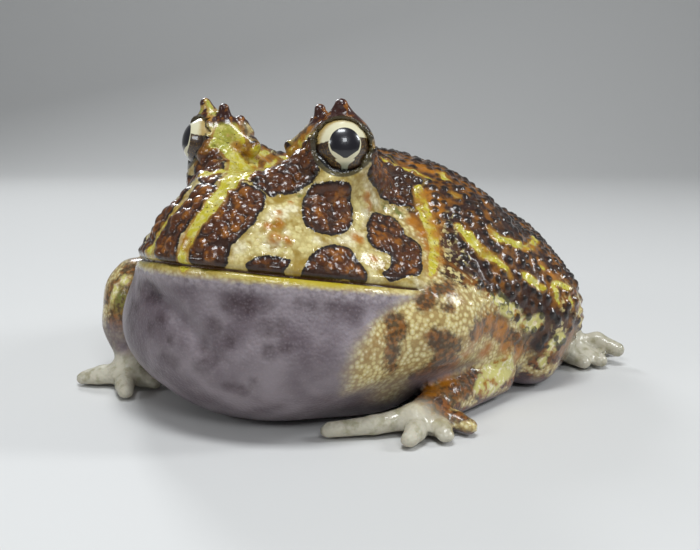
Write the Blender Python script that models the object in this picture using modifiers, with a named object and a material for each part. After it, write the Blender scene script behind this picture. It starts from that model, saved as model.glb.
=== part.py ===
"""An Argentine horned frog, life size, squatting flat on a floor with its mouth shut.

The frog faces -Y and its left side is +X.  The floor is z = 0.
Every length below is in millimetres: the shapes are made at one Blender unit
to the millimetre, and finish_node scales each finished node to metres.

The body is described once as a distance field: a handful of ellipsoids and
tapered limbs whose surfaces flow into each other.  Each node starts as a heap
of plain spheres, Remesh turns the heap into one closed skin, and settle moves
that skin onto the field.
"""

import math
from collections import namedtuple

import bmesh
import bpy
import numpy as np
from mathutils import Matrix, Vector

MM = 0.001
SEAM = 0.3

# head, in its own frame: x to the left, f forward from the jaw joint, u up
HEAD_PITCH = math.radians(11.4)
JAW_JOINT = np.array([0.0, 0.0, 25.0])
MOUTH_CORNER_F = 4.0
LIP_HEIGHT = 0.7
LIP_DEPTH = 0.5

EYE_CENTRE = np.array([16.2, -15.2, 53.9])
EYE_RADIUS = 5.7
LID_THICKNESS = 0.9
LID_OPENING = 2.9
LID_FACING = np.array([0.54, -0.83, 0.15])
EYELID_FLOOR = Vector((14.0, -15.0, 57.4))
EYELID_TILT = math.radians(-9.0)
EYELID_BOX = (21.0, 24.0, 16.0)
EYELID_MOUND = np.array([11.0, -12.5, 54.5])
NOSTRIL = (6.3, 32.6, 16.2)
NOSTRIL_SIZE = (1.0, 1.3, 1.0)

Blob = namedtuple("Blob", "centre radii blend both")
Horn = namedtuple("Horn", "root tip root_radius tip_radius")
Limb = namedtuple("Limb", "points radii")

UPPER_HEAD = [
    Blob((0, -1, 0), (31, 45, 20), 0, False),
    Blob((0, 23, 6), (15, 18, 13), 8, False),
    Blob((13, 15, 19), (8.5, 11, 8.5), 5, True),
]
BROW_RIDGE = Horn((11, 20, 22.5), (5, 34, 14.5), 2.2, 1.5)
LOWER_JAW = [Blob((0, -1, -1), (30, 43.8, 14), 0, False)]
TRUNK = [
    Blob((0, 16, 21), (43.5, 29.5, 31), 0, False),
    Blob((0, 37.5, 18.8), (37.4, 28.5, 21.8), 9, False),
    Blob((0, 10, 15.5), (40, 25, 14), 8, False),
    Blob((0, 3.5, 34.7), (15.6, 15, 16.3), 10, False),
    Blob((0, -17, 18.0), (32.5, 27, 18.3), 9, False),
]
HORNS = [
    Horn((17.6, -13.6, 57.4), (16.8, -15.8, 62.2), 2.4, 0.9),
    Horn((14.2, -15.2, 57.6), (16.4, -16.0, 62.2), 2.4, 0.9),
    Horn((11.8, -15.2, 57.0), (11.8, -15.9, 61.2), 2.0, 1.1),
    Horn((8.8, -13.2, 56.2), (9.1, -13.8, 59.0), 2.2, 0.9),
    Horn((11.0, -15.2, 56.4), (5.4, -15.2, 53.4), 2.8, 1.9),
]

SHOULDER = {
    "left": Blob((24.5, -4, 19.5), (17, 18, 13.5), 5, False),
    "right": Blob((-27, -5, 18), (14, 15, 12.5), 5, False),
}
UPPER_ARM = {
    "left": Limb([(30, 7, 15), (37.3, 10.5, 8.3)], (8, 5.2)),
    "right": Limb([(-30.5, -7, 21), (-37.2, -14.5, 18.5), (-37.2, -17, 14)], (10.5, 8.8, 8.0)),
}
FOREARM = {
    "left": Limb([(37.8, 10.8, 5.5), (35.4, -7, 4.7)], (5.1, 4.2)),
    "right": Limb([(-37, -17.5, 11.5), (-34.8, -21.5, 5.5)], (6.6, 4.0)),
}
PALM = {
    "left": Limb([(35.0, -9.5, 4.2), (34.4, -17.5, 3.2)], (3.6, 3.0)),
    "right": Limb([(-35, -22, 4.2), (-34.8, -24.5, 3.0)], (3.6, 2.8)),
}
FINGERS = {
    "left": [
        [(33, -18, 3.2), (28, -23, 2.2), (21.5, -28.5, 1.7)],
        [(35, -18, 3.2), (36.5, -22, 2.2), (36.8, -25, 1.7)],
        [(36, -15.5, 3.0), (39.5, -17.5, 2.2), (41.4, -19.4, 1.7)],
        [(36.5, -12.5, 3.0), (40.4, -12.6, 2.2), (43.4, -13.2, 1.7)],
    ],
    "right": [
        [(-33.5, -23.5, 3.0), (-30.5, -23.3, 2.2), (-27.5, -23, 1.7)],
        [(-34.2, -25, 3.0), (-30.8, -28.6, 2.2), (-28.2, -31, 1.7)],
        [(-36, -25, 3.0), (-40.2, -27, 2.2), (-43.4, -28.4, 1.6)],
        [(-36.5, -23.5, 3.0), (-40.8, -24.9, 2.2), (-43.8, -26, 1.6)],
    ],
}
FINGER_RADII = (2.3, 1.9, 1.7)

# hind legs, given for the left side and mirrored to the right
THIGH = Limb([(21, 46.5, 19), (38, 28.5, 16.2)], (15, 12.8))
SHIN = Limb([(40.5, 24, 7.8), (39.5, 49, 6.3)], (7.9, 5.6))
TARSUS = Limb([(38.5, 50, 5.2), (42.5, 47.5, 3.6)], (4.8, 3.6))
TOES = [
    [(41, 45.5, 3.0), (45.5, 43, 2.2), (48.6, 41.2, 1.7)],
    [(42, 46, 3.0), (47.5, 45.5, 2.4), (51.6, 44.6, 1.8)],
    [(43, 48, 3.8), (49, 49.8, 5.4), (54.2, 49.3, 3.9)],
    [(42, 50, 3.0), (46.8, 53.8, 2.2), (50.6, 57, 1.7)],
    [(41, 51, 3.0), (43.4, 56, 2.2), (45.4, 60.5, 1.7)],
]
TOE_RADII = (2.3, 1.9, 1.7)

# warts: low blunt cones over the back and the back of the head
WART_SEED = 7
WART_TRIES = 5000
WART_SPACING = 6.6
WART_RADIUS = (1.3, 2.3)
WART_HEIGHT = 0.5
WART_ROOT = 1.2
WART_SIDES = 6
WART_FRONT_F = 19.0
WART_LOWEST = 22.0

# mesh density
FLOOR_SNAP = 0.08
BODY_VOXEL = 1.1
EYELID_VOXEL = 0.6
LIMB_VOXEL = 0.9
BODY_TRIANGLES = 4500
EYELID_TRIANGLES = 600
UPPER_LIMB_TRIANGLES = 260
LOWER_LIMB_TRIANGLES = 200
FOOT_TRIANGLES = 480
EYE_SEGMENTS, EYE_RINGS = 18, 10


def to_head(points):
    """World points in the head's own frame (x, f, u)."""
    q = points - JAW_JOINT
    c, s = math.cos(HEAD_PITCH), math.sin(HEAD_PITCH)
    return np.stack([q[:, 0], -c * q[:, 1] + s * q[:, 2], s * q[:, 1] + c * q[:, 2]], 1)


def head_point(x, f, u):
    c, s = math.cos(HEAD_PITCH), math.sin(HEAD_PITCH)
    return Vector((x, -c * f + s * u, JAW_JOINT[2] + s * f + c * u))


def mirrored(points):
    """Points folded onto the left side, for what both sides share."""
    q = points.copy()
    q[:, 0] = np.abs(q[:, 0])
    return q


def ellipsoid(points, centre, radii):
    q = points - np.array(centre, float)
    r = np.array(radii, float)
    k0 = np.sqrt(((q / r) ** 2).sum(1))
    k1 = np.sqrt(((q / r**2) ** 2).sum(1)) + 1e-9
    return k0 * (k0 - 1.0) / k1


def tapered(points, a, b, radius_a, radius_b):
    a, b = np.array(a, float), np.array(b, float)
    ab = b - a
    t = np.clip(((points - a) @ ab) / (ab @ ab), 0, 1)
    gap = np.sqrt(((points - a - t[:, None] * ab) ** 2).sum(1))
    return gap - (radius_a + (radius_b - radius_a) * t)


def join(a, b, blend):
    """Union of two distances, with a fillet about as wide as blend."""
    h = np.maximum(blend - np.abs(a - b), 0) / blend
    return np.minimum(a, b) - h * h * blend * 0.25


def carve(a, b, blend):
    """Intersection of two distances with a rounded edge."""
    return -join(-a, -b, blend)


def blobs(points, shapes):
    folded = mirrored(points)
    distance = None
    for shape in shapes:
        one = ellipsoid(folded if shape.both else points, shape.centre, shape.radii)
        distance = one if distance is None else join(distance, one, shape.blend)
    return distance


def limb_field(points, limb, blend=2.0):
    distance = None
    for i in range(len(limb.points) - 1):
        ends = limb.points[i], limb.points[i + 1]
        one = tapered(points, *ends, limb.radii[i], limb.radii[i + 1])
        distance = one if distance is None else join(distance, one, blend)
    return distance


def on_floor(points, distance, rounding):
    """The shape pressed flat where it would sink below the floor."""
    return carve(distance, -points[:, 2], rounding)


def upper_head_field(points):
    local, folded = to_head(points), mirrored(points)
    distance = blobs(local, UPPER_HEAD)
    ridge = tapered(mirrored(local), *BROW_RIDGE)
    distance = join(distance, ridge, 4.0)
    from_eye = folded - EYE_CENTRE
    facing = LID_FACING / np.linalg.norm(LID_FACING)
    lid = np.sqrt((from_eye**2).sum(1)) - (EYE_RADIUS + LID_THICKNESS)
    lid = carve(lid, from_eye @ facing - LID_OPENING, 0.6)
    distance = join(distance, lid, 3.5)
    for horn in HORNS:
        distance = join(distance, tapered(folded, *horn), 1.2)
    return distance


def body_field(points):
    """Head, jaw, throat and trunk as one skin."""
    distance = join(upper_head_field(points), blobs(to_head(points), LOWER_JAW), 1.0)
    distance = join(distance, blobs(points, TRUNK), 7.0)
    return on_floor(points, distance, 3.0)


def upper_arm_field(side):
    def field(points):
        distance = ellipsoid(points, SHOULDER[side].centre, SHOULDER[side].radii)
        distance = join(distance, limb_field(points, UPPER_ARM[side]), SHOULDER[side].blend)
        return on_floor(points, distance, 1.0)

    return field


def one_limb_field(limb):
    def field(points):
        return on_floor(points, limb_field(points, limb), 1.0)

    return field


def digits_field(palm, digits):
    def field(points):
        distance = limb_field(points, palm)
        for digit in digits:
            distance = join(distance, limb_field(points, digit, 1.0), 1.5)
        return on_floor(points, distance, 0.5)

    return field


def flipped(limb, sign):
    """A left limb, or with sign -1 its right twin."""
    return Limb([(sign * x, y, z) for x, y, z in limb.points], limb.radii)


def clear_scene():
    for thing in list(bpy.data.objects):
        bpy.data.objects.remove(thing)


def new_collection(name):
    made = bpy.data.collections.new(name)
    bpy.context.scene.collection.children.link(made)
    return made


def add_ball(centre, radii, turn=0.0):
    """A sphere stretched to an ellipsoid; turn tips it forward about X."""
    bpy.ops.mesh.primitive_uv_sphere_add(segments=24, ring_count=12, location=centre)
    ball = bpy.context.object
    ball.scale = radii
    ball.rotation_euler = (turn, 0, 0)
    return ball


def heap_blobs(shapes, in_head):
    """Balls for a list of blobs, both of a mirrored pair."""
    balls = []
    for shape in shapes:
        for sign in (1, -1) if shape.both else (1,):
            x, y, z = shape.centre
            centre = head_point(sign * x, y, z) if in_head else (sign * x, y, z)
            balls.append(add_ball(centre, shape.radii, -HEAD_PITCH if in_head else 0.0))
    return balls


def heap_limb(points, radii):
    """A row of overlapping balls along a tapered limb."""
    balls = []
    for i in range(len(points) - 1):
        a, b = Vector(points[i]), Vector(points[i + 1])
        steps = max(2, math.ceil((b - a).length / (0.45 * min(radii[i], radii[i + 1]))))
        for k in range(steps + 1):
            t = k / steps
            radius = radii[i] + (radii[i + 1] - radii[i]) * t
            balls.append(add_ball(a.lerp(b, t), (radius,) * 3))
    return balls


def apply_modifiers(thing):
    bpy.context.view_layer.update()
    graph = bpy.context.evaluated_depsgraph_get()
    mesh = bpy.data.meshes.new_from_object(thing.evaluated_get(graph))
    thing.modifiers.clear()
    old, thing.data = thing.data, mesh
    bpy.data.meshes.remove(old)


def fuse_heap(name, balls, voxel):
    """One closed skin round a heap of balls."""
    bpy.ops.object.select_all(action="DESELECT")
    for ball in balls:
        ball.select_set(True)
    bpy.context.view_layer.objects.active = balls[0]
    bpy.ops.object.transform_apply(location=True, rotation=True, scale=True)
    bpy.ops.object.join()
    skin = bpy.context.object
    skin.name = name
    remesh = skin.modifiers.new("skin", "REMESH")
    remesh.mode = "VOXEL"
    remesh.voxel_size = voxel
    apply_modifiers(skin)
    return skin


def coordinates(mesh):
    flat = np.empty(len(mesh.vertices) * 3, np.float32)
    mesh.vertices.foreach_get("co", flat)
    return flat.reshape(-1, 3).astype(float)


def gradient(points, field):
    step = 0.05
    columns = []
    for axis in range(3):
        shift = np.zeros(3)
        shift[axis] = step
        columns.append((field(points + shift) - field(points - shift)) / (2 * step))
    return np.stack(columns, 1)


def settle(skin, field, steps, most=2.0):
    """Moves every vertex along the field's slope until it lies on the surface."""
    points = coordinates(skin.data)
    for _ in range(steps):
        slope = gradient(points, field)
        size = (slope**2).sum(1) + 1e-6
        move = -(field(points) / size)[:, None] * slope
        length = np.sqrt((move**2).sum(1))[:, None] + 1e-9
        points += move * np.minimum(1.0, most / length)
    skin.data.vertices.foreach_set("co", points.astype(np.float32).ravel())
    skin.data.update()


def press_flat(skin):
    """Brings what touches the floor to one exact level."""
    points = coordinates(skin.data)
    points[:, 2] = np.where(points[:, 2] < FLOOR_SNAP, 0.0, points[:, 2])
    skin.data.vertices.foreach_set("co", points.astype(np.float32).ravel())
    skin.data.update()


def even_out(skin, passes):
    smooth = skin.modifiers.new("even", "SMOOTH")
    smooth.factor = 0.5
    smooth.iterations = passes
    apply_modifiers(skin)


def thin_out(skin, triangles):
    """Fewer triangles, kept where the surface bends most."""
    skin.data.calc_loop_triangles()
    decimate = skin.modifiers.new("thin", "DECIMATE")
    decimate.ratio = min(1.0, triangles / len(skin.data.loop_triangles))
    decimate.use_collapse_triangulate = True
    apply_modifiers(skin)


def make_skin(name, balls, field, voxel, triangles):
    skin = fuse_heap(name, balls, voxel)
    for steps, passes in ((3, 4), (2, 3)):
        settle(skin, field, steps)
        even_out(skin, passes)
    settle(skin, field, 1)
    thin_out(skin, triangles)
    press_flat(skin)
    return skin


def boolean(target, other, operation, solver="EXACT"):
    step = target.modifiers.new(operation.lower(), "BOOLEAN")
    step.operation = operation
    step.solver = solver
    step.object = other
    apply_modifiers(target)


def copy_of(thing, name):
    twin = thing.copy()
    twin.data = thing.data.copy()
    twin.name = name
    bpy.context.collection.objects.link(twin)
    return twin


def grown(thing, distance):
    """A copy of a node swollen by the seam, to cut its neighbours with."""
    twin = copy_of(thing, "cutter_" + thing.name)
    swell = twin.modifiers.new("swell", "DISPLACE")
    swell.mid_level = 0.0
    swell.strength = distance
    apply_modifiers(twin)
    return twin


def discard(*things):
    for thing in things:
        bpy.data.objects.remove(thing)


def big_box(centre, size, turn=(0.0, 0.0, 0.0)):
    bpy.ops.mesh.primitive_cube_add(size=1.0, location=centre, rotation=turn)
    box = bpy.context.object
    box.scale = size
    bpy.ops.object.transform_apply(location=True, rotation=True, scale=True)
    return box


def head_box(low, high):
    """A box square to the head's frame, from one (x, f, u) corner to another."""
    middle = [(a + b) / 2 for a, b in zip(low, high)]
    size = [b - a for a, b in zip(low, high)]
    return big_box(head_point(*middle), size, (-HEAD_PITCH, 0, 0))


def keep_largest(thing):
    """Drops every loose scrap, so that the node is one closed body."""
    mesh = bmesh.new()
    mesh.from_mesh(thing.data)
    bmesh.ops.remove_doubles(mesh, verts=mesh.verts, dist=1e-4)
    unseen, islands = set(mesh.verts), []
    while unseen:
        island, edge = set(), [unseen.pop()]
        while edge:
            vertex = edge.pop()
            island.add(vertex)
            for link in vertex.link_edges:
                other = link.other_vert(vertex)
                if other in unseen:
                    unseen.remove(other)
                    edge.append(other)
        islands.append(island)
    islands.sort(key=len)
    scraps = [vertex for island in islands[:-1] for vertex in island]
    bmesh.ops.delete(mesh, geom=scraps, context="VERTS")
    bmesh.ops.triangulate(mesh, faces=mesh.faces)
    mesh.to_mesh(thing.data)
    mesh.free()


def ring_lips(body):
    """Adds the edge loops that the lips roll between, from one mouth corner to the other."""
    mesh = bmesh.new()
    mesh.from_mesh(body.data)
    up = head_point(0, 0, 1) - head_point(0, 0, 0)
    corner = head_point(0, MOUTH_CORNER_F, 0)
    forward = head_point(0, 1, 0) - head_point(0, 0, 0)
    for level in (LIP_HEIGHT, -LIP_HEIGHT):
        front = [face for face in mesh.faces if (face.calc_center_median() - corner) @ forward > 0]
        around = {edge for face in front for edge in face.edges}
        around |= {vertex for face in front for vertex in face.verts}
        bmesh.ops.bisect_plane(
            mesh, geom=front + list(around), plane_co=head_point(0, 0, level), plane_no=up
        )
    bmesh.ops.triangulate(mesh, faces=mesh.faces)
    mesh.to_mesh(body.data)
    mesh.free()


def round_lips(piece):
    """Draws in the sharp edge that the mouth cut left, as a lip's rolled edge."""
    mesh = bmesh.new()
    mesh.from_mesh(piece.data)
    mesh.normal_update()
    up = head_point(0, 0, 1) - head_point(0, 0, 0)
    rim, points = [], []
    for vertex in mesh.verts:
        x, f, u = to_head(np.array([vertex.co[:]]))[0]
        rises = [abs(face.normal @ up) for face in vertex.link_faces]
        if abs(abs(u) - SEAM / 2) < 0.02 and f > MOUTH_CORNER_F + 0.3 and min(rises) < 0.9:
            rim.append(vertex)
            points.append(vertex.co[:])
    slope = gradient(np.array(points), body_field)
    flat = slope - np.outer(slope @ np.array(up), np.array(up))
    flat /= np.linalg.norm(flat, axis=1)[:, None] + 1e-9
    for vertex, outward in zip(rim, flat):
        vertex.co -= LIP_DEPTH * Vector(outward)
    mesh.to_mesh(piece.data)
    mesh.free()


def make_body():
    """The whole head and trunk as one skin, before it is parted."""
    balls = heap_blobs(UPPER_HEAD, True) + heap_blobs(LOWER_JAW, True)
    balls += heap_blobs(TRUNK, False)
    for sign in (1, -1):
        side = (sign, 1, 1)
        eye = [a * b for a, b in zip(side, EYE_CENTRE)]
        balls.append(add_ball(eye, (EYE_RADIUS + LID_THICKNESS,) * 3))
        for horn in HORNS:
            ends = [[a * b for a, b in zip(side, end)] for end in (horn.root, horn.tip)]
            balls += heap_limb(ends, (horn.root_radius, horn.tip_radius))
        brow = [head_point(sign * x, f, u) for x, f, u in (BROW_RIDGE.root, BROW_RIDGE.tip)]
        balls += heap_limb(brow, (BROW_RIDGE.root_radius + 1.0, BROW_RIDGE.tip_radius + 1.0))
    return make_skin("body", balls, body_field, BODY_VOXEL, BODY_TRIANGLES)


def wart_places(limb_fields):
    """Points on the skin where warts sit, a fair distance apart, and the skin's slope there."""
    rng = np.random.default_rng(WART_SEED)
    points = rng.uniform((-46, -30, WART_LOWEST), (46, 68, 56), (WART_TRIES, 3))
    for _ in range(12):
        slope = gradient(points, body_field)
        size = (slope**2).sum(1) + 1e-6
        points -= (body_field(points) / size)[:, None] * slope
    slope = gradient(points, body_field)
    slope /= np.linalg.norm(slope, axis=1)[:, None]
    forward = to_head(points)[:, 1]
    from_eye = np.linalg.norm(mirrored(points) - EYE_CENTRE, axis=1)
    good = (np.abs(body_field(points)) < 0.05) & (points[:, 2] > WART_LOWEST)
    good &= (forward < WART_FRONT_F) & (np.abs(forward - MOUTH_CORNER_F) > 3.2)
    good &= (from_eye > 12.5) & (slope[:, 2] > -0.1)
    for field in limb_fields:
        good &= field(points) > 3.0
    chosen = []
    for i in np.flatnonzero(good):
        if all(np.linalg.norm(points[i] - points[j]) > WART_SPACING for j in chosen):
            chosen.append(i)
    return points[chosen], slope[chosen], rng.uniform(*WART_RADIUS, len(chosen))


def raise_warts(body, limb_fields):
    """Fuses the warts to the skin, each a blunt cone with its root well under it."""
    group = new_collection("warts")
    for place, outward, radius in zip(*wart_places(limb_fields)):
        height = WART_ROOT + WART_HEIGHT * radius
        bpy.ops.mesh.primitive_cone_add(
            vertices=WART_SIDES,
            radius1=radius * (1 + WART_ROOT / height),
            radius2=radius * 0.4,
            depth=height,
            location=Vector(place) + Vector(outward) * (height / 2 - WART_ROOT),
            rotation=Vector((0, 0, 1)).rotation_difference(Vector(outward)).to_euler(),
        )
        wart = bpy.context.object
        bpy.ops.object.transform_apply(location=True, rotation=True, scale=True)
        bpy.context.collection.objects.unlink(wart)
        group.objects.link(wart)
    union = body.modifiers.new("warts", "BOOLEAN")
    union.operation = "UNION"
    union.operand_type = "COLLECTION"
    union.collection = group
    apply_modifiers(body)
    discard(*list(group.objects))
    bpy.data.collections.remove(group)
    keep_largest(body)


def part_body(body):
    """Cuts the body into head, lower jaw, throat and torso."""
    ring_lips(body)
    far, half = 120.0, SEAM / 2
    jaw_depth = -7.5
    regions = {
        "head": ((-far, MOUTH_CORNER_F + half, half), (far, far, far)),
        "lower_jaw": ((-far, MOUTH_CORNER_F + half, jaw_depth + half), (far, far, -half)),
        "throat": ((-far, MOUTH_CORNER_F + half, -far), (far, far, jaw_depth - half)),
        "torso": ((-far, -far, -far), (far, MOUTH_CORNER_F - half, far)),
    }
    nodes = {}
    for name, (low, high) in regions.items():
        box = head_box(low, high)
        node = copy_of(body, name)
        boolean(node, box, "INTERSECT")
        discard(box)
        keep_largest(node)
        nodes[name] = node
    round_lips(nodes["head"])
    round_lips(nodes["lower_jaw"])
    return nodes


def make_eye(side, radius=EYE_RADIUS):
    """The eyeball, its pole towards the opening of the lids."""
    sign = 1 if side == "left" else -1
    facing = Vector(LID_FACING * (sign, 1, 1))
    bpy.ops.mesh.primitive_uv_sphere_add(
        segments=EYE_SEGMENTS,
        ring_count=EYE_RINGS,
        radius=radius,
        location=EYE_CENTRE * (sign, 1, 1),
        rotation=Vector((0, 0, 1)).rotation_difference(facing).to_euler(),
    )
    eye = bpy.context.object
    eye.name = f"eye_{side}"
    bpy.ops.object.transform_apply(location=True, rotation=True, scale=True)
    return eye


def eyelid_box(sign, drop, margin):
    """A box that holds all above the eyelid's slanting cut, lowered by drop."""
    centre = Vector((sign * EYELID_FLOOR.x, EYELID_FLOOR.y, EYELID_FLOOR.z))
    turn = (0, sign * EYELID_TILT, 0)
    up = Matrix.Rotation(turn[1], 3, "Y") @ Vector((0, 0, 1))
    width, length, height = EYELID_BOX
    size = (width + 2 * margin, length + 2 * margin, height)
    return big_box(centre + up * (height / 2 - drop), size, turn)


def make_eyelid(side):
    """The horned upper eyelid, a finer skin of its own down to its slanting cut."""
    sign = 1 if side == "left" else -1
    flip = np.array((sign, 1, 1))
    floor = np.array(EYELID_FLOOR) * flip
    up = np.array((sign * math.sin(EYELID_TILT), 0, math.cos(EYELID_TILT)))

    def field(points):
        return carve(body_field(points), -(points - floor) @ up - 1.5, 0.5)

    balls = [add_ball(EYE_CENTRE * flip, (EYE_RADIUS + LID_THICKNESS,) * 3)]
    balls.append(add_ball(EYELID_MOUND * flip, (5.0, 5.5, 3.2)))
    for horn in HORNS:
        ends = [np.array(end) * flip for end in (horn.root, horn.tip)]
        balls += heap_limb(ends, (horn.root_radius, horn.tip_radius))
    lid = make_skin(f"horned_eyelid_{side}", balls, field, EYELID_VOXEL, EYELID_TRIANGLES)
    box = eyelid_box(sign, -SEAM, 0.0)
    boolean(lid, box, "INTERSECT")
    discard(box)
    keep_largest(lid)
    return lid


def cut_eyelids(head):
    for sign in (1, -1):
        box = eyelid_box(sign, 0.0, SEAM)
        boolean(head, box, "DIFFERENCE")
        discard(box)
    keep_largest(head)


def cut_sockets(nodes):
    """Hollows the head and the eyelid to the eyeball's own shape, a seam wider."""
    for side in ("left", "right"):
        ball = make_eye(side, EYE_RADIUS + SEAM)
        for name in ("head", f"horned_eyelid_{side}"):
            boolean(nodes[name], ball, "DIFFERENCE")
            keep_largest(nodes[name])
        discard(ball)


def cut_nostrils(head):
    for sign in (1, -1):
        x, f, u = NOSTRIL
        pit = add_ball(head_point(sign * x, f, u), NOSTRIL_SIZE, -HEAD_PITCH)
        bpy.ops.object.transform_apply(location=True, rotation=True, scale=True)
        boolean(head, pit, "DIFFERENCE")
        discard(pit)
    keep_largest(head)


def limb_plans():
    """Every limb piece as its balls, its field and its number of triangles."""
    plans = {}
    for side in ("left", "right"):
        sign = 1 if side == "left" else -1
        thigh, shin, tarsus = [flipped(limb, sign) for limb in (THIGH, SHIN, TARSUS)]
        toes = [flipped(Limb(toe, TOE_RADII), sign) for toe in TOES]
        fingers = [Limb(finger, FINGER_RADII) for finger in FINGERS[side]]
        shoulder = [(SHOULDER[side].centre, SHOULDER[side].radii)]
        rows = {
            "upper_arm": (shoulder, [UPPER_ARM[side]], upper_arm_field(side), UPPER_LIMB_TRIANGLES),
            "forearm": ([], [FOREARM[side]], one_limb_field(FOREARM[side]), LOWER_LIMB_TRIANGLES),
            "hand": ([], [PALM[side]] + fingers, digits_field(PALM[side], fingers), FOOT_TRIANGLES),
            "thigh": ([], [thigh], one_limb_field(thigh), UPPER_LIMB_TRIANGLES),
            "shin": ([], [shin], one_limb_field(shin), LOWER_LIMB_TRIANGLES),
            "foot": ([], [tarsus] + toes, digits_field(tarsus, toes), FOOT_TRIANGLES),
        }
        plans.update({f"{kind}_{side}": row for kind, row in rows.items()})
    return plans


def make_limbs(plans):
    """Arms and legs, each piece a closed skin before it is cut to its neighbours."""
    made = {}
    for name, (lumps, limbs, field, triangles) in plans.items():
        balls = [add_ball(centre, radii) for centre, radii in lumps]
        for limb in limbs:
            balls += heap_limb(*limb)
        made[name] = make_skin(name, balls, field, LIMB_VOXEL, triangles)
    return made


def fit_limbs(limbs, body):
    """Cuts each limb clear of what it grows from, by the width of a seam."""
    trunk = grown(body, SEAM)
    for side in ("left", "right"):
        cutters = [trunk]
        for kind in ("upper_arm", "forearm", "hand", "thigh", "shin", "foot"):
            limb = limbs[f"{kind}_{side}"]
            own_cutter = grown(limb, SEAM)
            for cutter in cutters:
                boolean(limb, cutter, "DIFFERENCE")
            keep_largest(limb)
            cutters.append(own_cutter)
        discard(*cutters[1:])
    discard(trunk)


COLOURS = {
    "eye": (0.03, 0.025, 0.02, 0.05),
    "head": (0.55, 0.38, 0.10, 0.25),
    "horned_eyelid": (0.30, 0.14, 0.04, 0.25),
    "lower_jaw": (0.55, 0.48, 0.30, 0.35),
    "throat": (0.42, 0.36, 0.35, 0.40),
    "torso": (0.22, 0.12, 0.04, 0.25),
    "hand": (0.62, 0.58, 0.48, 0.35),
    "foot": (0.62, 0.58, 0.48, 0.35),
}
LIMB_COLOUR = (0.38, 0.28, 0.10, 0.30)


def finish_node(node, collection):
    """Scales a node to metres, smooths its shading and gives it its material."""
    node.data.transform(Matrix.Scale(MM, 4))
    node.data.shade_smooth()
    node.data.set_sharp_from_angle(angle=math.radians(40))
    kind = node.name.replace("_left", "").replace("_right", "")
    red, green, blue, roughness = COLOURS.get(kind, LIMB_COLOUR)
    material = bpy.data.materials.new(node.name)
    material.use_nodes = True
    shader = material.node_tree.nodes["Principled BSDF"]
    shader.inputs["Base Color"].default_value = (red, green, blue, 1.0)
    shader.inputs["Roughness"].default_value = roughness
    node.data.materials.clear()
    node.data.materials.append(material)
    for holder in list(node.users_collection):
        holder.objects.unlink(node)
    collection.objects.link(node)


def stand_on_origin(nodes):
    """Moves the frog so that the middle of its footprint is the origin."""
    points = np.concatenate([coordinates(node.data) for node in nodes])
    middle = (points.min(0) + points.max(0)) / 2
    for node in nodes:
        node.data.transform(Matrix.Translation((-middle[0], -middle[1], 0)))


def main():
    clear_scene()
    frog = new_collection("horned_frog")
    body = make_body()
    plans = limb_plans()
    limbs = make_limbs(plans)
    fit_limbs(limbs, body)
    raise_warts(body, [plan[2] for plan in plans.values()])
    nodes = part_body(body)
    discard(body)
    cut_eyelids(nodes["head"])
    for side in ("left", "right"):
        nodes[f"horned_eyelid_{side}"] = make_eyelid(side)
        nodes[f"eye_{side}"] = make_eye(side)
    cut_sockets(nodes)
    cut_nostrils(nodes["head"])
    nodes |= limbs
    stand_on_origin(nodes.values())
    for node in nodes.values():
        finish_node(node, frog)


main()
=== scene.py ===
# %% [markdown]
# An Argentine horned frog, life size, sitting flat with its mouth shut.
# The solids of its body are loaded first. This script lays one wet, warty skin over them,
# paints the markings on it with nodes, and sets two finished eyes in their lids.

import math
from collections import namedtuple

import bmesh
import bpy
import numpy as np
from mathutils import Matrix, Vector
from mathutils.bvhtree import BVHTree
from mathutils.kdtree import KDTree


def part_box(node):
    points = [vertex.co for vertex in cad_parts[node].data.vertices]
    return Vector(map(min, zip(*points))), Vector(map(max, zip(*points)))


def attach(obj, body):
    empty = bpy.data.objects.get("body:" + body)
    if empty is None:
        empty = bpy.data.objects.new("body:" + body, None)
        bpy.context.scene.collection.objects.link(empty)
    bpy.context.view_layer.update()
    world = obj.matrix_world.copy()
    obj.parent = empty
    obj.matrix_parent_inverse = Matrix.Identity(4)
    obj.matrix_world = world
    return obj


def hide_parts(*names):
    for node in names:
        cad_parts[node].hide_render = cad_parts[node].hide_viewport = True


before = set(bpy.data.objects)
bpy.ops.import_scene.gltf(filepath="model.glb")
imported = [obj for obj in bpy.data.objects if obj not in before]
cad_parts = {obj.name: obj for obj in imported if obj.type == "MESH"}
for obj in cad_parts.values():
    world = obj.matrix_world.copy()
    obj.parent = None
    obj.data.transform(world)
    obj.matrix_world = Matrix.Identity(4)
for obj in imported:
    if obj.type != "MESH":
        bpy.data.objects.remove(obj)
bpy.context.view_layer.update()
bpy.ops.object.select_all(action="DESELECT")

# %% [markdown]
# Every length below is in millimetres in the frog's own frame: it faces -Y, its left side
# is +X and the floor is z = 0. The left eye's place in the solids tells how far that frame
# is from the scene's, so nothing has to be fitted by eye.

# %% The frog's own frame
MM = 0.001
EYE_CENTRE = np.array([16.2, -15.2, 53.9])
eye_low, eye_high = (np.array(corner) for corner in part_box("eye_left"))
FRAME_SHIFT = (eye_low + eye_high) / 2 / MM - EYE_CENTRE
FRAME_SHIFT[2] = 0.0
TO_SCENE = Matrix.Scale(MM, 4) @ Matrix.Translation(Vector(FRAME_SHIFT))
TO_FROG = TO_SCENE.inverted()
print("frog frame to scene, mm:", FRAME_SHIFT.round(3))

# %% [markdown]
# The photograph was taken from about 0.2 m, 31 degrees round to the frog's left and
# 11 degrees above level. The same view is set up first, because the markings further
# down are placed by looking through it.

# %% Camera
PICTURE = (700, 550)
FOCAL_PX = 939.0
SENSOR_MM = 36.0
CAMERA_PLACE = np.array([111.91, -170.80, 63.79])
CAMERA_AZIMUTH = math.radians(31.08)
CAMERA_PITCH = math.radians(10.8)

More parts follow.
